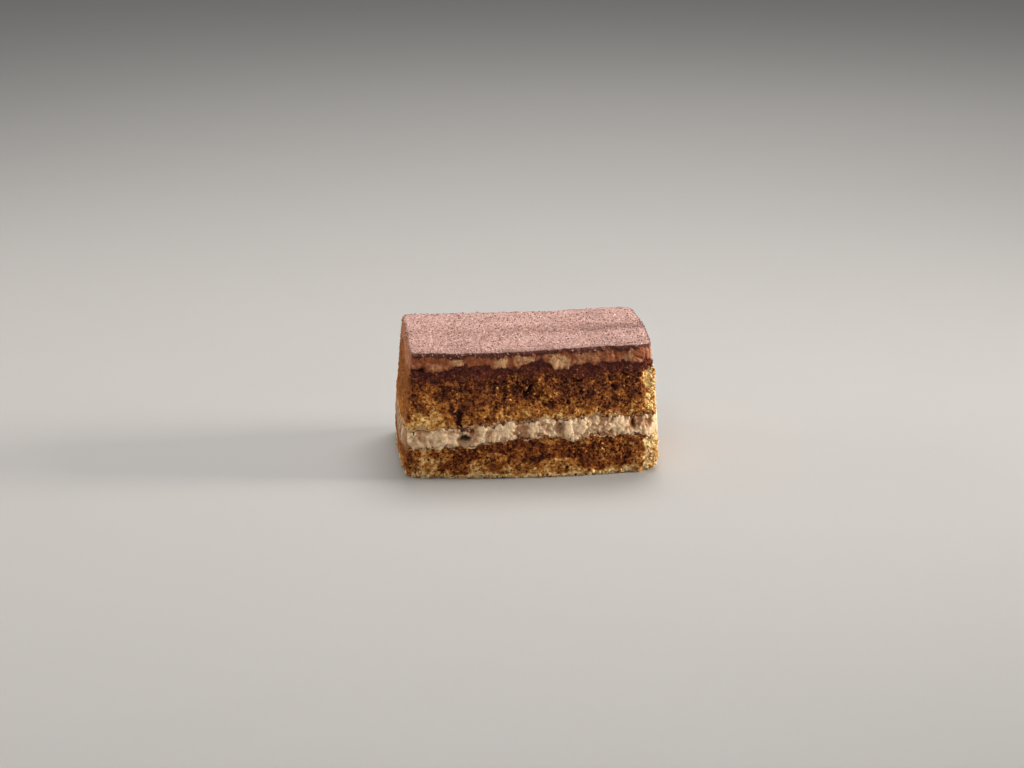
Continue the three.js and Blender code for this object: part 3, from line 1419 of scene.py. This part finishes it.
@dataclass
class CreamLayer(Layer):
    """A band of cream: torn into lumps by the knife, with a few air holes.

    bulge, marks, lumps, grain, gap_depth, blob_rise and hollow_depth are the reach of each kind of
    relief in millimetres. lump_light_and_shade is how much paler the lumps are than the low parts
    between them, as painted light and shade. gap_shade is the painted shade in the gaps, and
    edge_stain_and_shade the coffee stain and painted shade along the band's lines and creases.
    """

    bulge: float = 0.25
    marks: float = 0.06
    lumps: float = 0.46
    grain: float = 0.08
    gap_depth: float = 0.4
    blob_rise: float = 0.5
    hollow_depth: float = 1.8
    lump_size: float = 2.4
    lump_light_and_shade: float = 0.4
    gap_size: float = 2.3
    gap_width: float = 0.12
    gap_shade: float = 0.85
    holes: Pores = Pores(3.6, 0.2, 0.6, 0.35, 61)
    hollows: tuple[Spot, ...] = ()
    blobs: tuple[Spot, ...] = ()
    stains: tuple[Spot, ...] = ()
    clean_spots: tuple[Spot, ...] = ()
    tan_share: float = 0.5
    edge_stain_and_shade: float = 0.62

    def lumpiness(self, place: Array) -> Array:
        """Torn lumps, a little taller than wide: crooked noise in three octaves, with its peaks flattened.

        Args:
            place: Points of the wall.

        Returns:
            About 1 on the lumps and down to -1 in the gaps between them.
        """
        crooked = warped(place * (1, 1, 0.7), 1.4, 0.5, self.seed)
        return np.tanh(1.7 * fractal(crooked, self.lump_size, self.seed + 3, 3, 0.6))

    def gaps(self, place: Array) -> Array:
        """Thin winding gaps: a bell curve over a crooked noise where it passes zero, in patches.

        Args:
            place: Points of the wall.

        Returns:
            1 in the middle of a gap, 0 outside.
        """
        crooked = warped(place * (1, 1, 0.55), 1.1, 0.45, self.seed + 31)
        line = hump(noise(crooked, self.gap_size, self.seed + 32), self.gap_width)
        return line * smooth_step(-0.2, 0.35, noise(place, 3.1, self.seed + 33))

    def relief(self, wall: Wall, veil: Array) -> tuple[Array, Masks]:
        """A soft belly with lumps, a few ridges down the cut, air holes and the named hollows.

        Args:
            wall: The smooth wall.
            veil: Where the drawn film lies on it.

        Returns:
            How far each point stands out, and the masks tan, stain_and_shade and pore, which
            carry painted light on the lumps and painted shade in the gaps, creases, holes and hollows.
        """
        place = wall.points
        belly = self.bulge * (1 - (2 * wall.share - 1) ** 4)
        ridges = 1 - 2 * np.abs(noise(place * (1, 1, 0.2), 1.0, self.seed + 7))
        lumps = self.lumpiness(place)
        gaps = self.gaps(place)
        fine = fractal(place, 0.8, self.seed + 6, 2)
        depth = self.holes.depth(warped(place, 0.9, 0.3, self.seed + 8), -wall.outward)
        hollow = spotted(wall, self.hollows, 0.8, self.seed + 9)
        blob = spotted(wall, self.blobs, 0.6, self.seed + 12)
        rough = self.marks * ridges + self.lumps * lumps + self.grain * fine - self.gap_depth * gaps
        bare = 1 - 0.6 * veil
        push = belly + rough * bare + self.blob_rise * blob
        push = push - depth - self.hollow_depth * np.clip(hollow, 0, 1.2) + self.creased(wall) * bare
        clouds = fractal(place * (1, 1, 0.8), 3.6, self.seed + 15, 3)
        # Painted light and shade: the lumps are paler, the low parts between them more tan.
        tan = self.tan_share + 0.3 * clouds - self.lump_light_and_shade * lumps
        tan = tan - spotted(wall, self.clean_spots, 1.0, self.seed + 18)
        # Coffee stain and painted shade: darker along the lines and creases, in the hollows, the low parts
        # and the gaps.
        near = np.minimum(wall.above, wall.below)
        stain_and_shade = self.edge_stain_and_shade - 0.9 * near + 0.45 * fractal(place * (1, 1, 0.7), 1.4, self.seed + 21, 3)
        stain_and_shade = stain_and_shade + spotted(wall, self.stains, 0.9, self.seed + 24) + 0.8 * np.clip(hollow, 0, 1)
        stain_and_shade = stain_and_shade + 0.5 * np.clip(-0.35 - lumps, 0, 1) + self.gap_shade * gaps
        masks = {
            "tan": np.clip(tan, 0, 1),
            "stain_and_shade": np.clip(stain_and_shade, 0, 1),
            # Painted shade: holes and hollows darken by their depth.
            "pore": np.clip((depth + self.hollow_depth * hollow - 0.25) / 0.9, 0, 1),
        }
        return push, masks


@dataclass
class SeamLayer(Layer):
    """The seam of cocoa that lies between the upper sponge and the upper cream."""

    sunk: float = 0.12
    clump_rise: float = 0.34
    grain: float = 0.18

    def relief(self, wall: Wall, veil: Array) -> tuple[Array, Masks]:
        """A crumbly dark band, a little sunken, with clumps in two sizes.

        Args:
            wall: The smooth wall.
            veil: Where the drawn film lies on it.

        Returns:
            How far each point stands out, and the masks wet and pore, the painted shade where
            the clumps are low.
        """
        place = wall.points
        clumps = fractal(place, 1.5, self.seed, 3)
        grain = fractal(place, 0.55, self.seed + 5, 2)
        rough = self.clump_rise * clumps + self.grain * grain
        push = -self.sunk + rough * (1 - 0.6 * veil) + self.creased(wall)
        masks = {
            "wet": np.clip(0.2 + 0.6 * wall.share + 0.5 * fractal(place, 2.0, self.seed + 9), 0, 1),
            # Painted shade: darker where the clumps are low.
            "pore": np.clip(-0.15 - clumps, 0, 1),
        }
        return push, masks


@dataclass
class CocoaLayer(Layer):
    """The sieved cocoa on top: a fine grid of clumps with a ragged, darker edge.

    slow_rise, clump_rise and grain are the reach of the clumps in three sizes. nibble is what the
    wall loses, edge_drop how far the top falls off over edge_width, edge_damp how damp it is over
    damp_width, and ease_width how far in the top follows the wall. The darker band along the top
    is painted shade; its place and width are its Y and its half width.
    """

    cells_long: int = 370
    cells_deep: int = 214
    rows: int = 8
    nibble: float = 0.45
    edge_drop: float = 0.3
    edge_width: float = 0.5
    edge_damp: float = 0.55
    damp_width: float = 0.4
    ease_width: float = 0.8
    slow_rise: float = 0.14
    clump_rise: float = 0.15
    grain: float = 0.09
    shade_band_place: float = 0.5
    shade_band_width: float = 5.5
    top: Surface | None = None

    def dusting(self, x: Array, y: Array) -> Array:
        """Height of the sieved clumps over the smooth top, from noise in three sizes.

        Args:
            x: Left to right.
            y: Front to back.

        Returns:
            The height in millimetres.
        """
        place = np.stack((x, y, np.zeros_like(x)), axis=-1)
        slow = fractal(place * (0.6, 1.0, 1.0), 7.0, self.seed, 2)
        clumps = fractal(place, 1.3, self.seed + 4, 2)
        grain = noise(place, 0.45, self.seed + 8)
        return self.slow_rise * slow + self.clump_rise * clumps + self.grain * grain

    def band(self, x: Array, y: Array) -> Array:
        """The darker band that runs along the top near its middle, stronger on the right, is painted shade.

        Args:
            x: Left to right.
            y: Front to back.

        Returns:
            How strongly it shows, with patches of damp all over the top.
        """
        place = np.stack((x, y, np.zeros_like(x)), axis=-1)
        wander = 1.2 * noise(place, 16.0, self.seed + 20)
        patches = fractal(place * (0.6, 1.0, 1.0), 4.0, self.seed + 22, 3)
        strength = 0.38 + 0.12 * np.tanh((x - 5) / 16)
        # Painted shade: a darker band along the middle of the top.
        return strength * hump(y - self.shade_band_place - wander, self.shade_band_width) + 0.07 * patches

    def relief(self, wall: Wall, veil: Array) -> tuple[Array, Masks]:
        """A crumbling edge of clumps, more worn towards the top.

        Args:
            wall: The smooth wall.
            veil: Where the drawn film lies on it, which this loose edge doesn't show.

        Returns:
            How far each point stands out, and the masks wet and pore, the painted shade where
            the clumps are low.
        """
        clumps = fractal(wall.points, 1.5, self.seed + 30, 3)
        push = self.nibble * clumps - self.edge_drop * wall.share**3 + 0.1
        masks = {
            "wet": np.clip(1.7 - 0.9 * wall.share + 0.4 * clumps, 0, 1),
            # Painted shade: darker where the clumps are low.
            "pore": np.clip(-clumps, 0, 1),
        }
        return push, masks

    def skin(self) -> Skin:
        """Joins the wall to a full grid of the top face, which shares the wall's last row.

        Returns:
            The closed skin, whose masks are zero on all that is hidden.
        """
        wall, outside, wall_masks = self.dressed_wall()
        us = np.linspace(-1, 1, self.cells_long + 1)
        vs = np.linspace(-1, 1, self.cells_deep + 1)
        u, v = (grid.T for grid in np.meshgrid(us, vs))
        x, y = self.block.plan(u, v, np.full(u.shape, float(Face.TOP.value.level)))
        inset = np.minimum(1 - np.abs(u), (1 - np.abs(v)) * self.block.depth / self.block.length)
        inset = inset * self.block.length / 2
        dust = self.dusting(x, y)
        drop = self.edge_drop * np.exp(-inset / self.edge_width)
        z = self.block.face_height(Face.TOP, x, y) + dust - drop
        grid = np.stack((x, y, z), axis=-1)
        numbers = np.arange(grid.shape[0] * grid.shape[1]).reshape(grid.shape[:2])
        rim = np.concatenate((numbers[:-1, 0], numbers[-1, :-1], numbers[:0:-1, -1], numbers[0, :0:-1]))
        top_points = grid.reshape(-1, 3)
        shift = outside[-1, :, :2] - top_points[rim, :2]
        top_points = self.eased(top_points, rim, shift, numbers, inset)
        self.top = Surface(top_points, np.array((0.0, 0.0, 1.0)) * np.ones_like(top_points))
        lower = self.cap(self.low, self.gap / 2, self.cap_shares[::-1])
        lip = self.tucked(wall, 0, -self.overlap)
        rings = np.concatenate((lower, lip, outside[:-1]))
        count, around = rings.shape[:2]
        ring_numbers = len(top_points) + np.arange(count * around).reshape(count, around)
        stacked = np.concatenate((ring_numbers, rim[None]))
        pole = lower[0].mean(axis=0)
        points = np.concatenate((top_points, rings.reshape(-1, 3), pole[None]))
        corners = (numbers[:-1, :-1], numbers[1:, :-1], numbers[1:, 1:], numbers[:-1, 1:])
        quads = np.concatenate((np.stack(corners, axis=-1).reshape(-1, 4), lofted(stacked)))
        triangles = fan(len(points) - 1, ring_numbers[0], upwards=False)
        top_masks = {
            # The band is painted shade; the edge is damp.
            "wet": self.band(x, y) + self.edge_damp * np.exp(-inset / self.damp_width),
            # Painted shade: darker where the dusting is low.
            "pore": -0.15 - dust * 3.0,
            "veil": np.zeros_like(x),
        }
        start = len(top_points) + (len(lower) + 1) * around
        spread: Masks = {}
        for name, values in top_masks.items():
            full = np.zeros(len(points))
            full[: len(top_points)] = np.clip(values, 0, 1).ravel()
            full[start : start + self.rows * around] = wall_masks[name][:-1].ravel()
            spread[name] = full
        return Skin(points, quads, triangles, spread)

    def eased(self, points: Array, rim: Array, shift: Array, numbers: Array, inset: Array) -> Array:
        """Moves the rim of the top onto the wall, and its neighbours with it, less and less inwards.

        Args:
            points: The grid's points, in order.
            rim: Numbers of the points on the rim.
            shift: X and Y that each rim point has to move.
            numbers: The grid of point numbers.
            inset: How far inside the edge each grid point lies.

        Returns:
            The moved points: each one follows the rim point that lies straight out from it.
        """
        long, deep = numbers.shape
        field = np.zeros((len(points), 2))
        field[rim] = shift
        field = field.reshape(long, deep, 2)
        front = (np.arange(deep) < deep / 2)[None, :, None]
        left = (np.arange(long) < long / 2)[:, None, None]
        across = np.where(front, field[:, :1], field[:, -1:])
        along = np.where(left, field[:1], field[-1:])
        to_side = (1 - np.abs(np.linspace(-1, 1, deep))) * self.block.depth
        to_end = (1 - np.abs(np.linspace(-1, 1, long))) * self.block.length
        nearer = (to_side[None, :] <= to_end[:, None])[..., None]
        moved = np.where(nearer, across, along) * np.exp(-inset / self.ease_width)[..., None]
        moved = moved.reshape(-1, 2)
        moved[rim] = shift
        result = points.copy()
        result[:, :2] += moved
        return result


# Crumbs ---------------------------------------------------------------------------------------

GOLDEN = (1 + math.sqrt(5)) / 2
LUMP_POINTS = np.array([
    (-1, GOLDEN, 0), (1, GOLDEN, 0), (-1, -GOLDEN, 0), (1, -GOLDEN, 0),
    (0, -1, GOLDEN), (0, 1, GOLDEN), (0, -1, -GOLDEN), (0, 1, -GOLDEN),
    (GOLDEN, 0, -1), (GOLDEN, 0, 1), (-GOLDEN, 0, -1), (-GOLDEN, 0, 1),
]) / math.hypot(1, GOLDEN)
LUMP_FACES = np.array([
    (0, 11, 5), (0, 5, 1), (0, 1, 7), (0, 7, 10), (0, 10, 11), (1, 5, 9), (5, 11, 4),
    (11, 10, 2), (10, 7, 6), (7, 1, 8), (3, 9, 4), (3, 4, 2), (3, 2, 6), (3, 6, 8),
    (3, 8, 9), (4, 9, 5), (2, 4, 11), (6, 2, 10), (8, 6, 7), (9, 8, 1),
])


@dataclass(frozen=True)
class Scatter:
    """Loose lumps of one kind in one mesh: crumbs or grains with twenty faces each.

    small and large are the radii, and each mask gets one number a lump between the two given.
    sink is how much of its radius a lump lies under the surface, worn how unequal its three
    widths are, jag how uneven it is, and lowest the height that no point of it goes below.
    """

    name: str
    slot: str
    finish: Finish
    count: int
    small: float
    large: float
    seed: int
    masks: dict[str, tuple[float, float]]
    sink: float = 0.25
    worn: float = 0.35
    jag: float = 0.3
    lowest: float = 0.02

    def turned(self, random: np.random.Generator) -> Array:
        """A random turn for each lump, from unit quaternions.

        Args:
            random: Where the random numbers come from.

        Returns:
            A three by three matrix for each lump.
        """
        q = random.normal(size=(self.count, 4))
        w, x, y, z = (q / np.linalg.norm(q, axis=1)[:, None]).T
        rows = (
            (1 - 2 * (y * y + z * z), 2 * (x * y - z * w), 2 * (x * z + y * w)),
            (2 * (x * y + z * w), 1 - 2 * (x * x + z * z), 2 * (y * z - x * w)),
            (2 * (x * z - y * w), 2 * (y * z + x * w), 1 - 2 * (x * x + y * y)),
        )
        return np.array(rows).transpose(2, 0, 1)

    def skin(self, surface: Surface, weight: Array) -> Skin:
        """Lays the lumps on a surface, more of them where the weight is larger.

        Every lump is the same solid with its points moved in or out at random, flattened,
        scaled and turned. Most are small: the radius grows with the cube of a random number.

        Args:
            surface: What they lie on.
            weight: One number for each of its points.

        Returns:
            All lumps as one skin.
        """
        random = np.random.default_rng(self.seed)
        seats = random.choice(len(weight), size=self.count, replace=False, p=weight / weight.sum())
        radius = self.small + (self.large - self.small) * random.random(self.count) ** 3
        jagged = LUMP_POINTS * random.uniform(1 - self.jag, 1 + self.jag, (self.count, len(LUMP_POINTS), 1))
        jagged = jagged * random.uniform(1 - self.worn, 1 + self.worn, (self.count, 1, 3))
        lumps = np.einsum("nij,nkj->nki", self.turned(random), jagged) * radius[:, None, None]
        lift = radius * (1 - self.sink)
        middle = surface.points[seats] + surface.outward[seats] * lift[:, None]
        points = (lumps + middle[:, None]).reshape(-1, 3)
        points[:, 2] = np.maximum(points[:, 2], self.lowest)
        steps = len(LUMP_POINTS) * np.arange(self.count)
        triangles = (LUMP_FACES + steps[:, None, None]).reshape(-1, 3)
        masks: Masks = {}
        for mask, (low, high) in self.masks.items():
            masks[mask] = np.repeat(random.uniform(low, high, self.count), len(LUMP_POINTS))
        return Skin(points, np.zeros((0, 4), int), triangles, masks)

    def build(self, surface: Surface, weight: Array) -> bpy.types.Object:
        """Makes the piece of lumps, riding on the portion's one body.

        Args:
            surface: What they lie on.
            weight: One number for each of its points.

        Returns:
            The piece.
        """
        piece = self.skin(surface, weight).written(self.name)
        dressed(piece, self.finish)
        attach(piece, "root")
        return piece


# The studio -----------------------------------------------------------------------------------


@dataclass(frozen=True)
class Lamp:
    """A soft square light: where it stands, how wide it is, its power, colour and spread.

    spread is the full angle of its beam in degrees.
    """

    name: str
    place: tuple[float, float, float]
    size: float
    power: float
    colour: tuple[float, float, float] = (1.0, 1.0, 1.0)
    spread: float = 180.0


@dataclass(frozen=True)
class Studio:
    """The floor, the lights and the camera, in metres.

    The camera's azimuth and elevation are degrees from the front and from the floor, and
    floor_swing is how much brighter the floor's palest clouds are.
    """

    azimuth: float = -5.8
    elevation: float = 17.2
    distance: float = 0.81
    lens: float = 83.0
    sensor: float = 36.0
    aim: tuple[float, float, float] = (-0.004, 0.0, 0.0239)
    floor_half: float = 8.0
    floor_colour: Colour = srgb(156, 154, 151)
    floor_swing: float = 1.03
    world_colour: tuple[float, float, float, float] = (0.86, 0.88, 0.9, 1.0)
    world_strength: float = 0.3
    lamps: tuple[Lamp, ...] = (
        Lamp("key above", (0.15, 0.35, 0.75), 0.45, 6.5, (1.0, 0.97, 0.95)),
        Lamp("rim right", (1.15, -0.07, 0.3), 0.35, 1.45, (1.0, 0.95, 0.87), 40.0),
        Lamp("rim left", (-0.6, 0.15, 0.2), 0.25, 1.2, (1.0, 0.95, 0.9)),
        Lamp("front high", (-0.2, -0.5, 0.75), 0.35, 3.0, (1.0, 0.97, 0.94)),
    )

    def build(self) -> None:
        """Makes the studio round the portion."""
        self.make_floor()
        self.make_world()
        for lamp in self.lamps:
            self.make_lamp(lamp)
        self.make_camera()
        bpy.context.scene.view_settings.view_transform = "Standard"

    def make_floor(self) -> None:
        """A pale floor whose faint clouds come from noise."""
        size = self.floor_half
        mesh = bpy.data.meshes.new("floor")
        corners = [(-size, -size, 0), (size, -size, 0), (size, size, 0), (-size, size, 0)]
        mesh.from_pydata(corners, [], [(0, 1, 2, 3)])
        floor = bpy.data.objects.new("floor", mesh)
        bpy.context.scene.collection.objects.link(floor)
        material, graph = fresh_material("studio floor")
        grain = graph.grain(graph.place(), 60.0, 2.0)
        pale = tuple(min(1.0, self.floor_swing * share) for share in self.floor_colour)
        base = graph.mixed(grain, self.floor_colour, pale)
        shaded(graph, {"Base Color": base, "Roughness": 0.75})
        mesh.materials.append(material)

    def make_world(self) -> None:
        """An even pale surround."""
        world = bpy.data.worlds.new("studio")
        world.use_nodes = True
        background = world.node_tree.nodes["Background"]
        background.inputs["Color"].default_value = self.world_colour
        background.inputs["Strength"].default_value = self.world_strength
        bpy.context.scene.world = world

    def make_lamp(self, lamp: Lamp) -> None:
        """One area light that looks at the portion."""
        data = bpy.data.lights.new(lamp.name, "AREA")
        data.shape = "SQUARE"
        data.size = lamp.size
        data.energy = lamp.power
        data.spread = math.radians(lamp.spread)
        data.color = lamp.colour
        light = bpy.data.objects.new(lamp.name, data)
        light.location = lamp.place
        towards = Vector(self.aim) - Vector(lamp.place)
        light.rotation_euler = towards.to_track_quat("-Z", "Y").to_euler()
        bpy.context.scene.collection.objects.link(light)

    def make_camera(self) -> None:
        """The camera, on a sphere round the point that it looks at."""
        across = math.radians(self.azimuth)
        up = math.radians(self.elevation)
        back = Vector((math.sin(across) * math.cos(up), -math.cos(across) * math.cos(up), math.sin(up)))
        data = bpy.data.cameras.new("camera")
        data.lens = self.lens
        data.sensor_width = self.sensor
        camera = bpy.data.objects.new("camera", data)
        camera.location = Vector(self.aim) + self.distance * back
        camera.rotation_euler = (-back).to_track_quat("-Z", "Y").to_euler()
        bpy.context.scene.collection.objects.link(camera)
        bpy.context.scene.camera = camera


# The portion ----------------------------------------------------------------------------------


def layers(block: Block) -> dict[str, Layer]:
    """The six layers from the foot up, with the places on the shown cut face where they differ.

    Args:
        block: The portion's plan and side wall.

    Returns:
        The layers by the names of their nodes.
    """
    stack = [
        SpongeLayer(
            block, "sponge_lower", "sponge_pale", Face.FOOT, Face.SPONGE_TOP, SPONGE_LOWER,
            rows=62, seed=200, soak_foot=0.05, soak_top=0.7, soak_low=0.25, soak_high=0.75,
            soak_clouds=0.7, smear_reach=0.7, veil_share=0.8, fringe=0.9,
            dark_spots=(
                Spot(-20.8, 9.4, 3.4, 2.4, 0.5), Spot(-10.7, 8.6, 3.4, 2.6, 0.5),
                Spot(4.6, 9.8, 5.0, 2.6, 0.6), Spot(21.9, 9.0, 4.0, 2.6, 0.5),
                Spot(30, 6.5, 4.0, 2.0, 0.3),
            ),
            pale_spots=(Spot(-35, 7, 6.5, 5.5, 0.4), Spot(-16, 5, 2.5, 4.0, 0.25)),
        ),
        CreamLayer(
            block, "cream_lower", "cream", Face.SPONGE_TOP, Face.CREAM_TOP, CREAM_LOWER,
            cells_long=480, cells_deep=280, rows=46, seed=300, crease=0.1, lump_light_and_shade=0.42,
            tan_share=0.42, edge_stain_and_shade=0.5,
            hollows=(
                Spot(-22.5, 13.8, 1.3, 1.4, 1.2), Spot(-23.6, 16.4, 0.5, 2.0, 0.5),
                Spot(10.2, 17.0, 0.9, 1.6, 0.5), Spot(34.1, 17.5, 0.5, 1.9, 0.8),
            ),
            blobs=(Spot(-15.8, 17.0, 1.3, 1.0), Spot(24.5, 17.5, 2.0, 1.2), Spot(-30, 13.5, 2.2, 1.2)),
            stains=(
                Spot(35.4, 14.2, 1.6, 0.9, 0.9), Spot(-37.8, 15.5, 0.9, 0.6, 0.6),
                Spot(-18.5, 15, 0.9, 1.6, 0.5), Spot(1.5, 15, 0.8, 1.5, 0.4),
                Spot(-23.7, 16.6, 1.0, 2.2, 0.8),
            ),
            clean_spots=(
                Spot(-15.8, 17.0, 2.4, 1.6, 0.7), Spot(24, 17.5, 8.0, 2.4, 0.1),
                Spot(32, 18, 10.0, 4.0, -0.3), Spot(-31, 14.0, 5.0, 2.0, 0.3),
            ),
        ),
        SpongeLayer(
            block, "sponge_upper", "sponge_soaked", Face.CREAM_TOP, Face.CRUMB_TOP, SPONGE_UPPER,
            rows=70, seed=400, crease=0.12, soak_foot=0.27, soak_top=0.8, smear_reach=2.4,
            pits=(
                Spot(-2.2, 30, 1.2, 0.9, 0.9), Spot(4.6, 24.7, 1.3, 0.9, 0.9),
                Spot(16.4, 33, 1.1, 0.8, 0.9), Spot(-24.6, 21.5, 0.7, 4.2, 0.28),
            ),
            dark_spots=(Spot(-24.6, 21.5, 1.1, 4.4, 1.1),),
            pale_spots=(
                Spot(-34, 20, 9.0, 5.0, 0.6), Spot(-35, 29, 7.0, 5.5, 0.35), Spot(2, 21.5, 26.0, 2.6, 0.38),
            ),
        ),
        SeamLayer(
            block, "cocoa_seam", "cocoa_wet", Face.CRUMB_TOP, Face.SEAM_TOP, COCOA_SEAM,
            cells_long=420, cells_deep=240, rows=20, seed=500,
        ),
        CreamLayer(
            block, "cream_upper", "cream_stained", Face.SEAM_TOP, Face.CREAM_LEVEL, CREAM_UPPER,
            cells_long=480, cells_deep=280, rows=36, seed=600, bulge=0.12, marks=0.03, lumps=0.22,
            lump_light_and_shade=0.16, gap_shade=0.15, tan_share=0.95, edge_stain_and_shade=0.85,
            hollows=(Spot(-37.3, 36.6, 2.0, 1.2, 1.0),),
            clean_spots=(
                Spot(-33, 38.6, 3.0, 1.4, 0.35), Spot(-23.6, 39.4, 2.4, 1.9, 0.8),
                Spot(-10.3, 39.3, 2.8, 2.0, 1.0), Spot(-0.5, 39.9, 3.0, 1.5, 1.0),
                Spot(9.7, 38.4, 3.2, 2.8, 1.1), Spot(21.5, 39.4, 2.8, 1.7, 0.6),
                Spot(31.7, 39.2, 2.4, 1.6, 0.45),
            ),
        ),
        CocoaLayer(
            block, "cocoa_top", "cocoa_dry", Face.CREAM_LEVEL, Face.TOP, COCOA_TOP, seed=700,
        ),
    ]
    return {layer.node: layer for layer in stack}


def scatter_crumbs(stack: dict[str, Layer]) -> list[bpy.types.Object]:
    """Lays loose crumbs on the sponges and grains of cocoa on the top and along the seam.

    The pale crumbs lie at the right front corner, where their pale colour is a painted glow of the
    light from the right, and along the foot; the brown ones lie in clusters, with few on the two
    ends. The seam's grains leave the left end out, where the film is, and the sieved grains are
    thickest towards the front of the top and along its middle.

    Args:
        stack: The built layers by the names of their nodes.

    Returns:
        The pieces, one for each kind.
    """
    lower = stack["sponge_lower"].surface
    upper = stack["sponge_upper"].surface
    seam = stack["cocoa_seam"].surface
    rim = stack["cocoa_top"].surface
    top = stack["cocoa_top"].top
    crumb = lower.joined(upper)
    height = crumb.points[:, 2]
    # Painted glow: the pale crumbs at the right front corner stand for crumbs lit by the light from the
    # right.
    right = smooth_step(38.0, 40.5, crumb.points[:, 0])
    right = right * smooth_step(-18, -25, crumb.points[:, 1])
    fringe = smooth_step(1.8, 0.3, height)
    clusters = smooth_step(0.0, 0.8, fractal(crumb.points, 5.0, 911, 2))
    pale = Scatter(
        "pale_and_glowing_crumbs", "sponge_pale", SPONGE_LOWER, 2400, 0.15, 0.62, 801,
        {"soak": (0.0, 0.3), "pore": (0.0, 0.1), "pale": (0.1, 1.0)}, sink=0.45,
    )
    brown = Scatter(
        "brown_crumbs", "sponge_soaked", SPONGE_UPPER, 3400, 0.14, 0.5, 802,
        {"soak": (0.0, 1.0), "pore": (0.0, 0.2)}, sink=0.45,
    )
    seam_grains = Scatter(
        "seam_grains", "cocoa_wet", COCOA_SEAM, 3000, 0.1, 0.32, 803,
        {"wet": (0.2, 1.0), "pore": (0.0, 0.3)},
    )
    sieved = Scatter(
        "sieved_grains", "cocoa_dry", COCOA_TOP, 7000, 0.07, 0.3, 804,
        {"wet": (0.0, 0.35), "pore": (0.0, 0.1)}, sink=0.4,
    )
    front = np.exp(-(top.points[:, 1] - top.points[:, 1].min()) / 5.0)
    on_top = 0.25 + front + 0.4 * hump(top.points[:, 1], 6.0)
    left = 1 - smooth_step(0.5, 0.95, -seam.outward[:, 0])
    sheltered = 1 - smooth_step(0.5, 0.95, -crumb.outward[:, 0])
    end = smooth_step(0.5, 0.95, crumb.outward[:, 0])
    pieces = [
        pale.build(crumb, 1.6 * right + 1.2 * fringe),
        brown.build(crumb, (0.1 + clusters) * (1 - 0.6 * right) * (1 - 0.7 * end) * (0.01 + sheltered)),
        seam_grains.build(seam, 0.05 + left),
        sieved.build(top.joined(rim), np.concatenate((on_top, np.full(len(rim.points), 0.2)))),
    ]
    return pieces


def main() -> None:
    """Builds the studio and the portion, reports each piece and notes the sizes."""
    logging.basicConfig(level=logging.INFO, format="%(name)s: %(message)s")
    Studio().build()
    block = Block.from_frame(*CAD_BOX)
    LOG.info("block %.2f x %.2f x %.2f mm at the top", block.length, block.depth, block.height)
    stack = layers(block)
    for layer in stack.values():
        piece = layer.build()
        LOG.info("%s has %d faces", piece.name, len(piece.data.polygons))
    for piece in scatter_crumbs(stack):
        LOG.info("%s has %d faces", piece.name, len(piece.data.polygons))


if __name__ == "__main__":
    main()
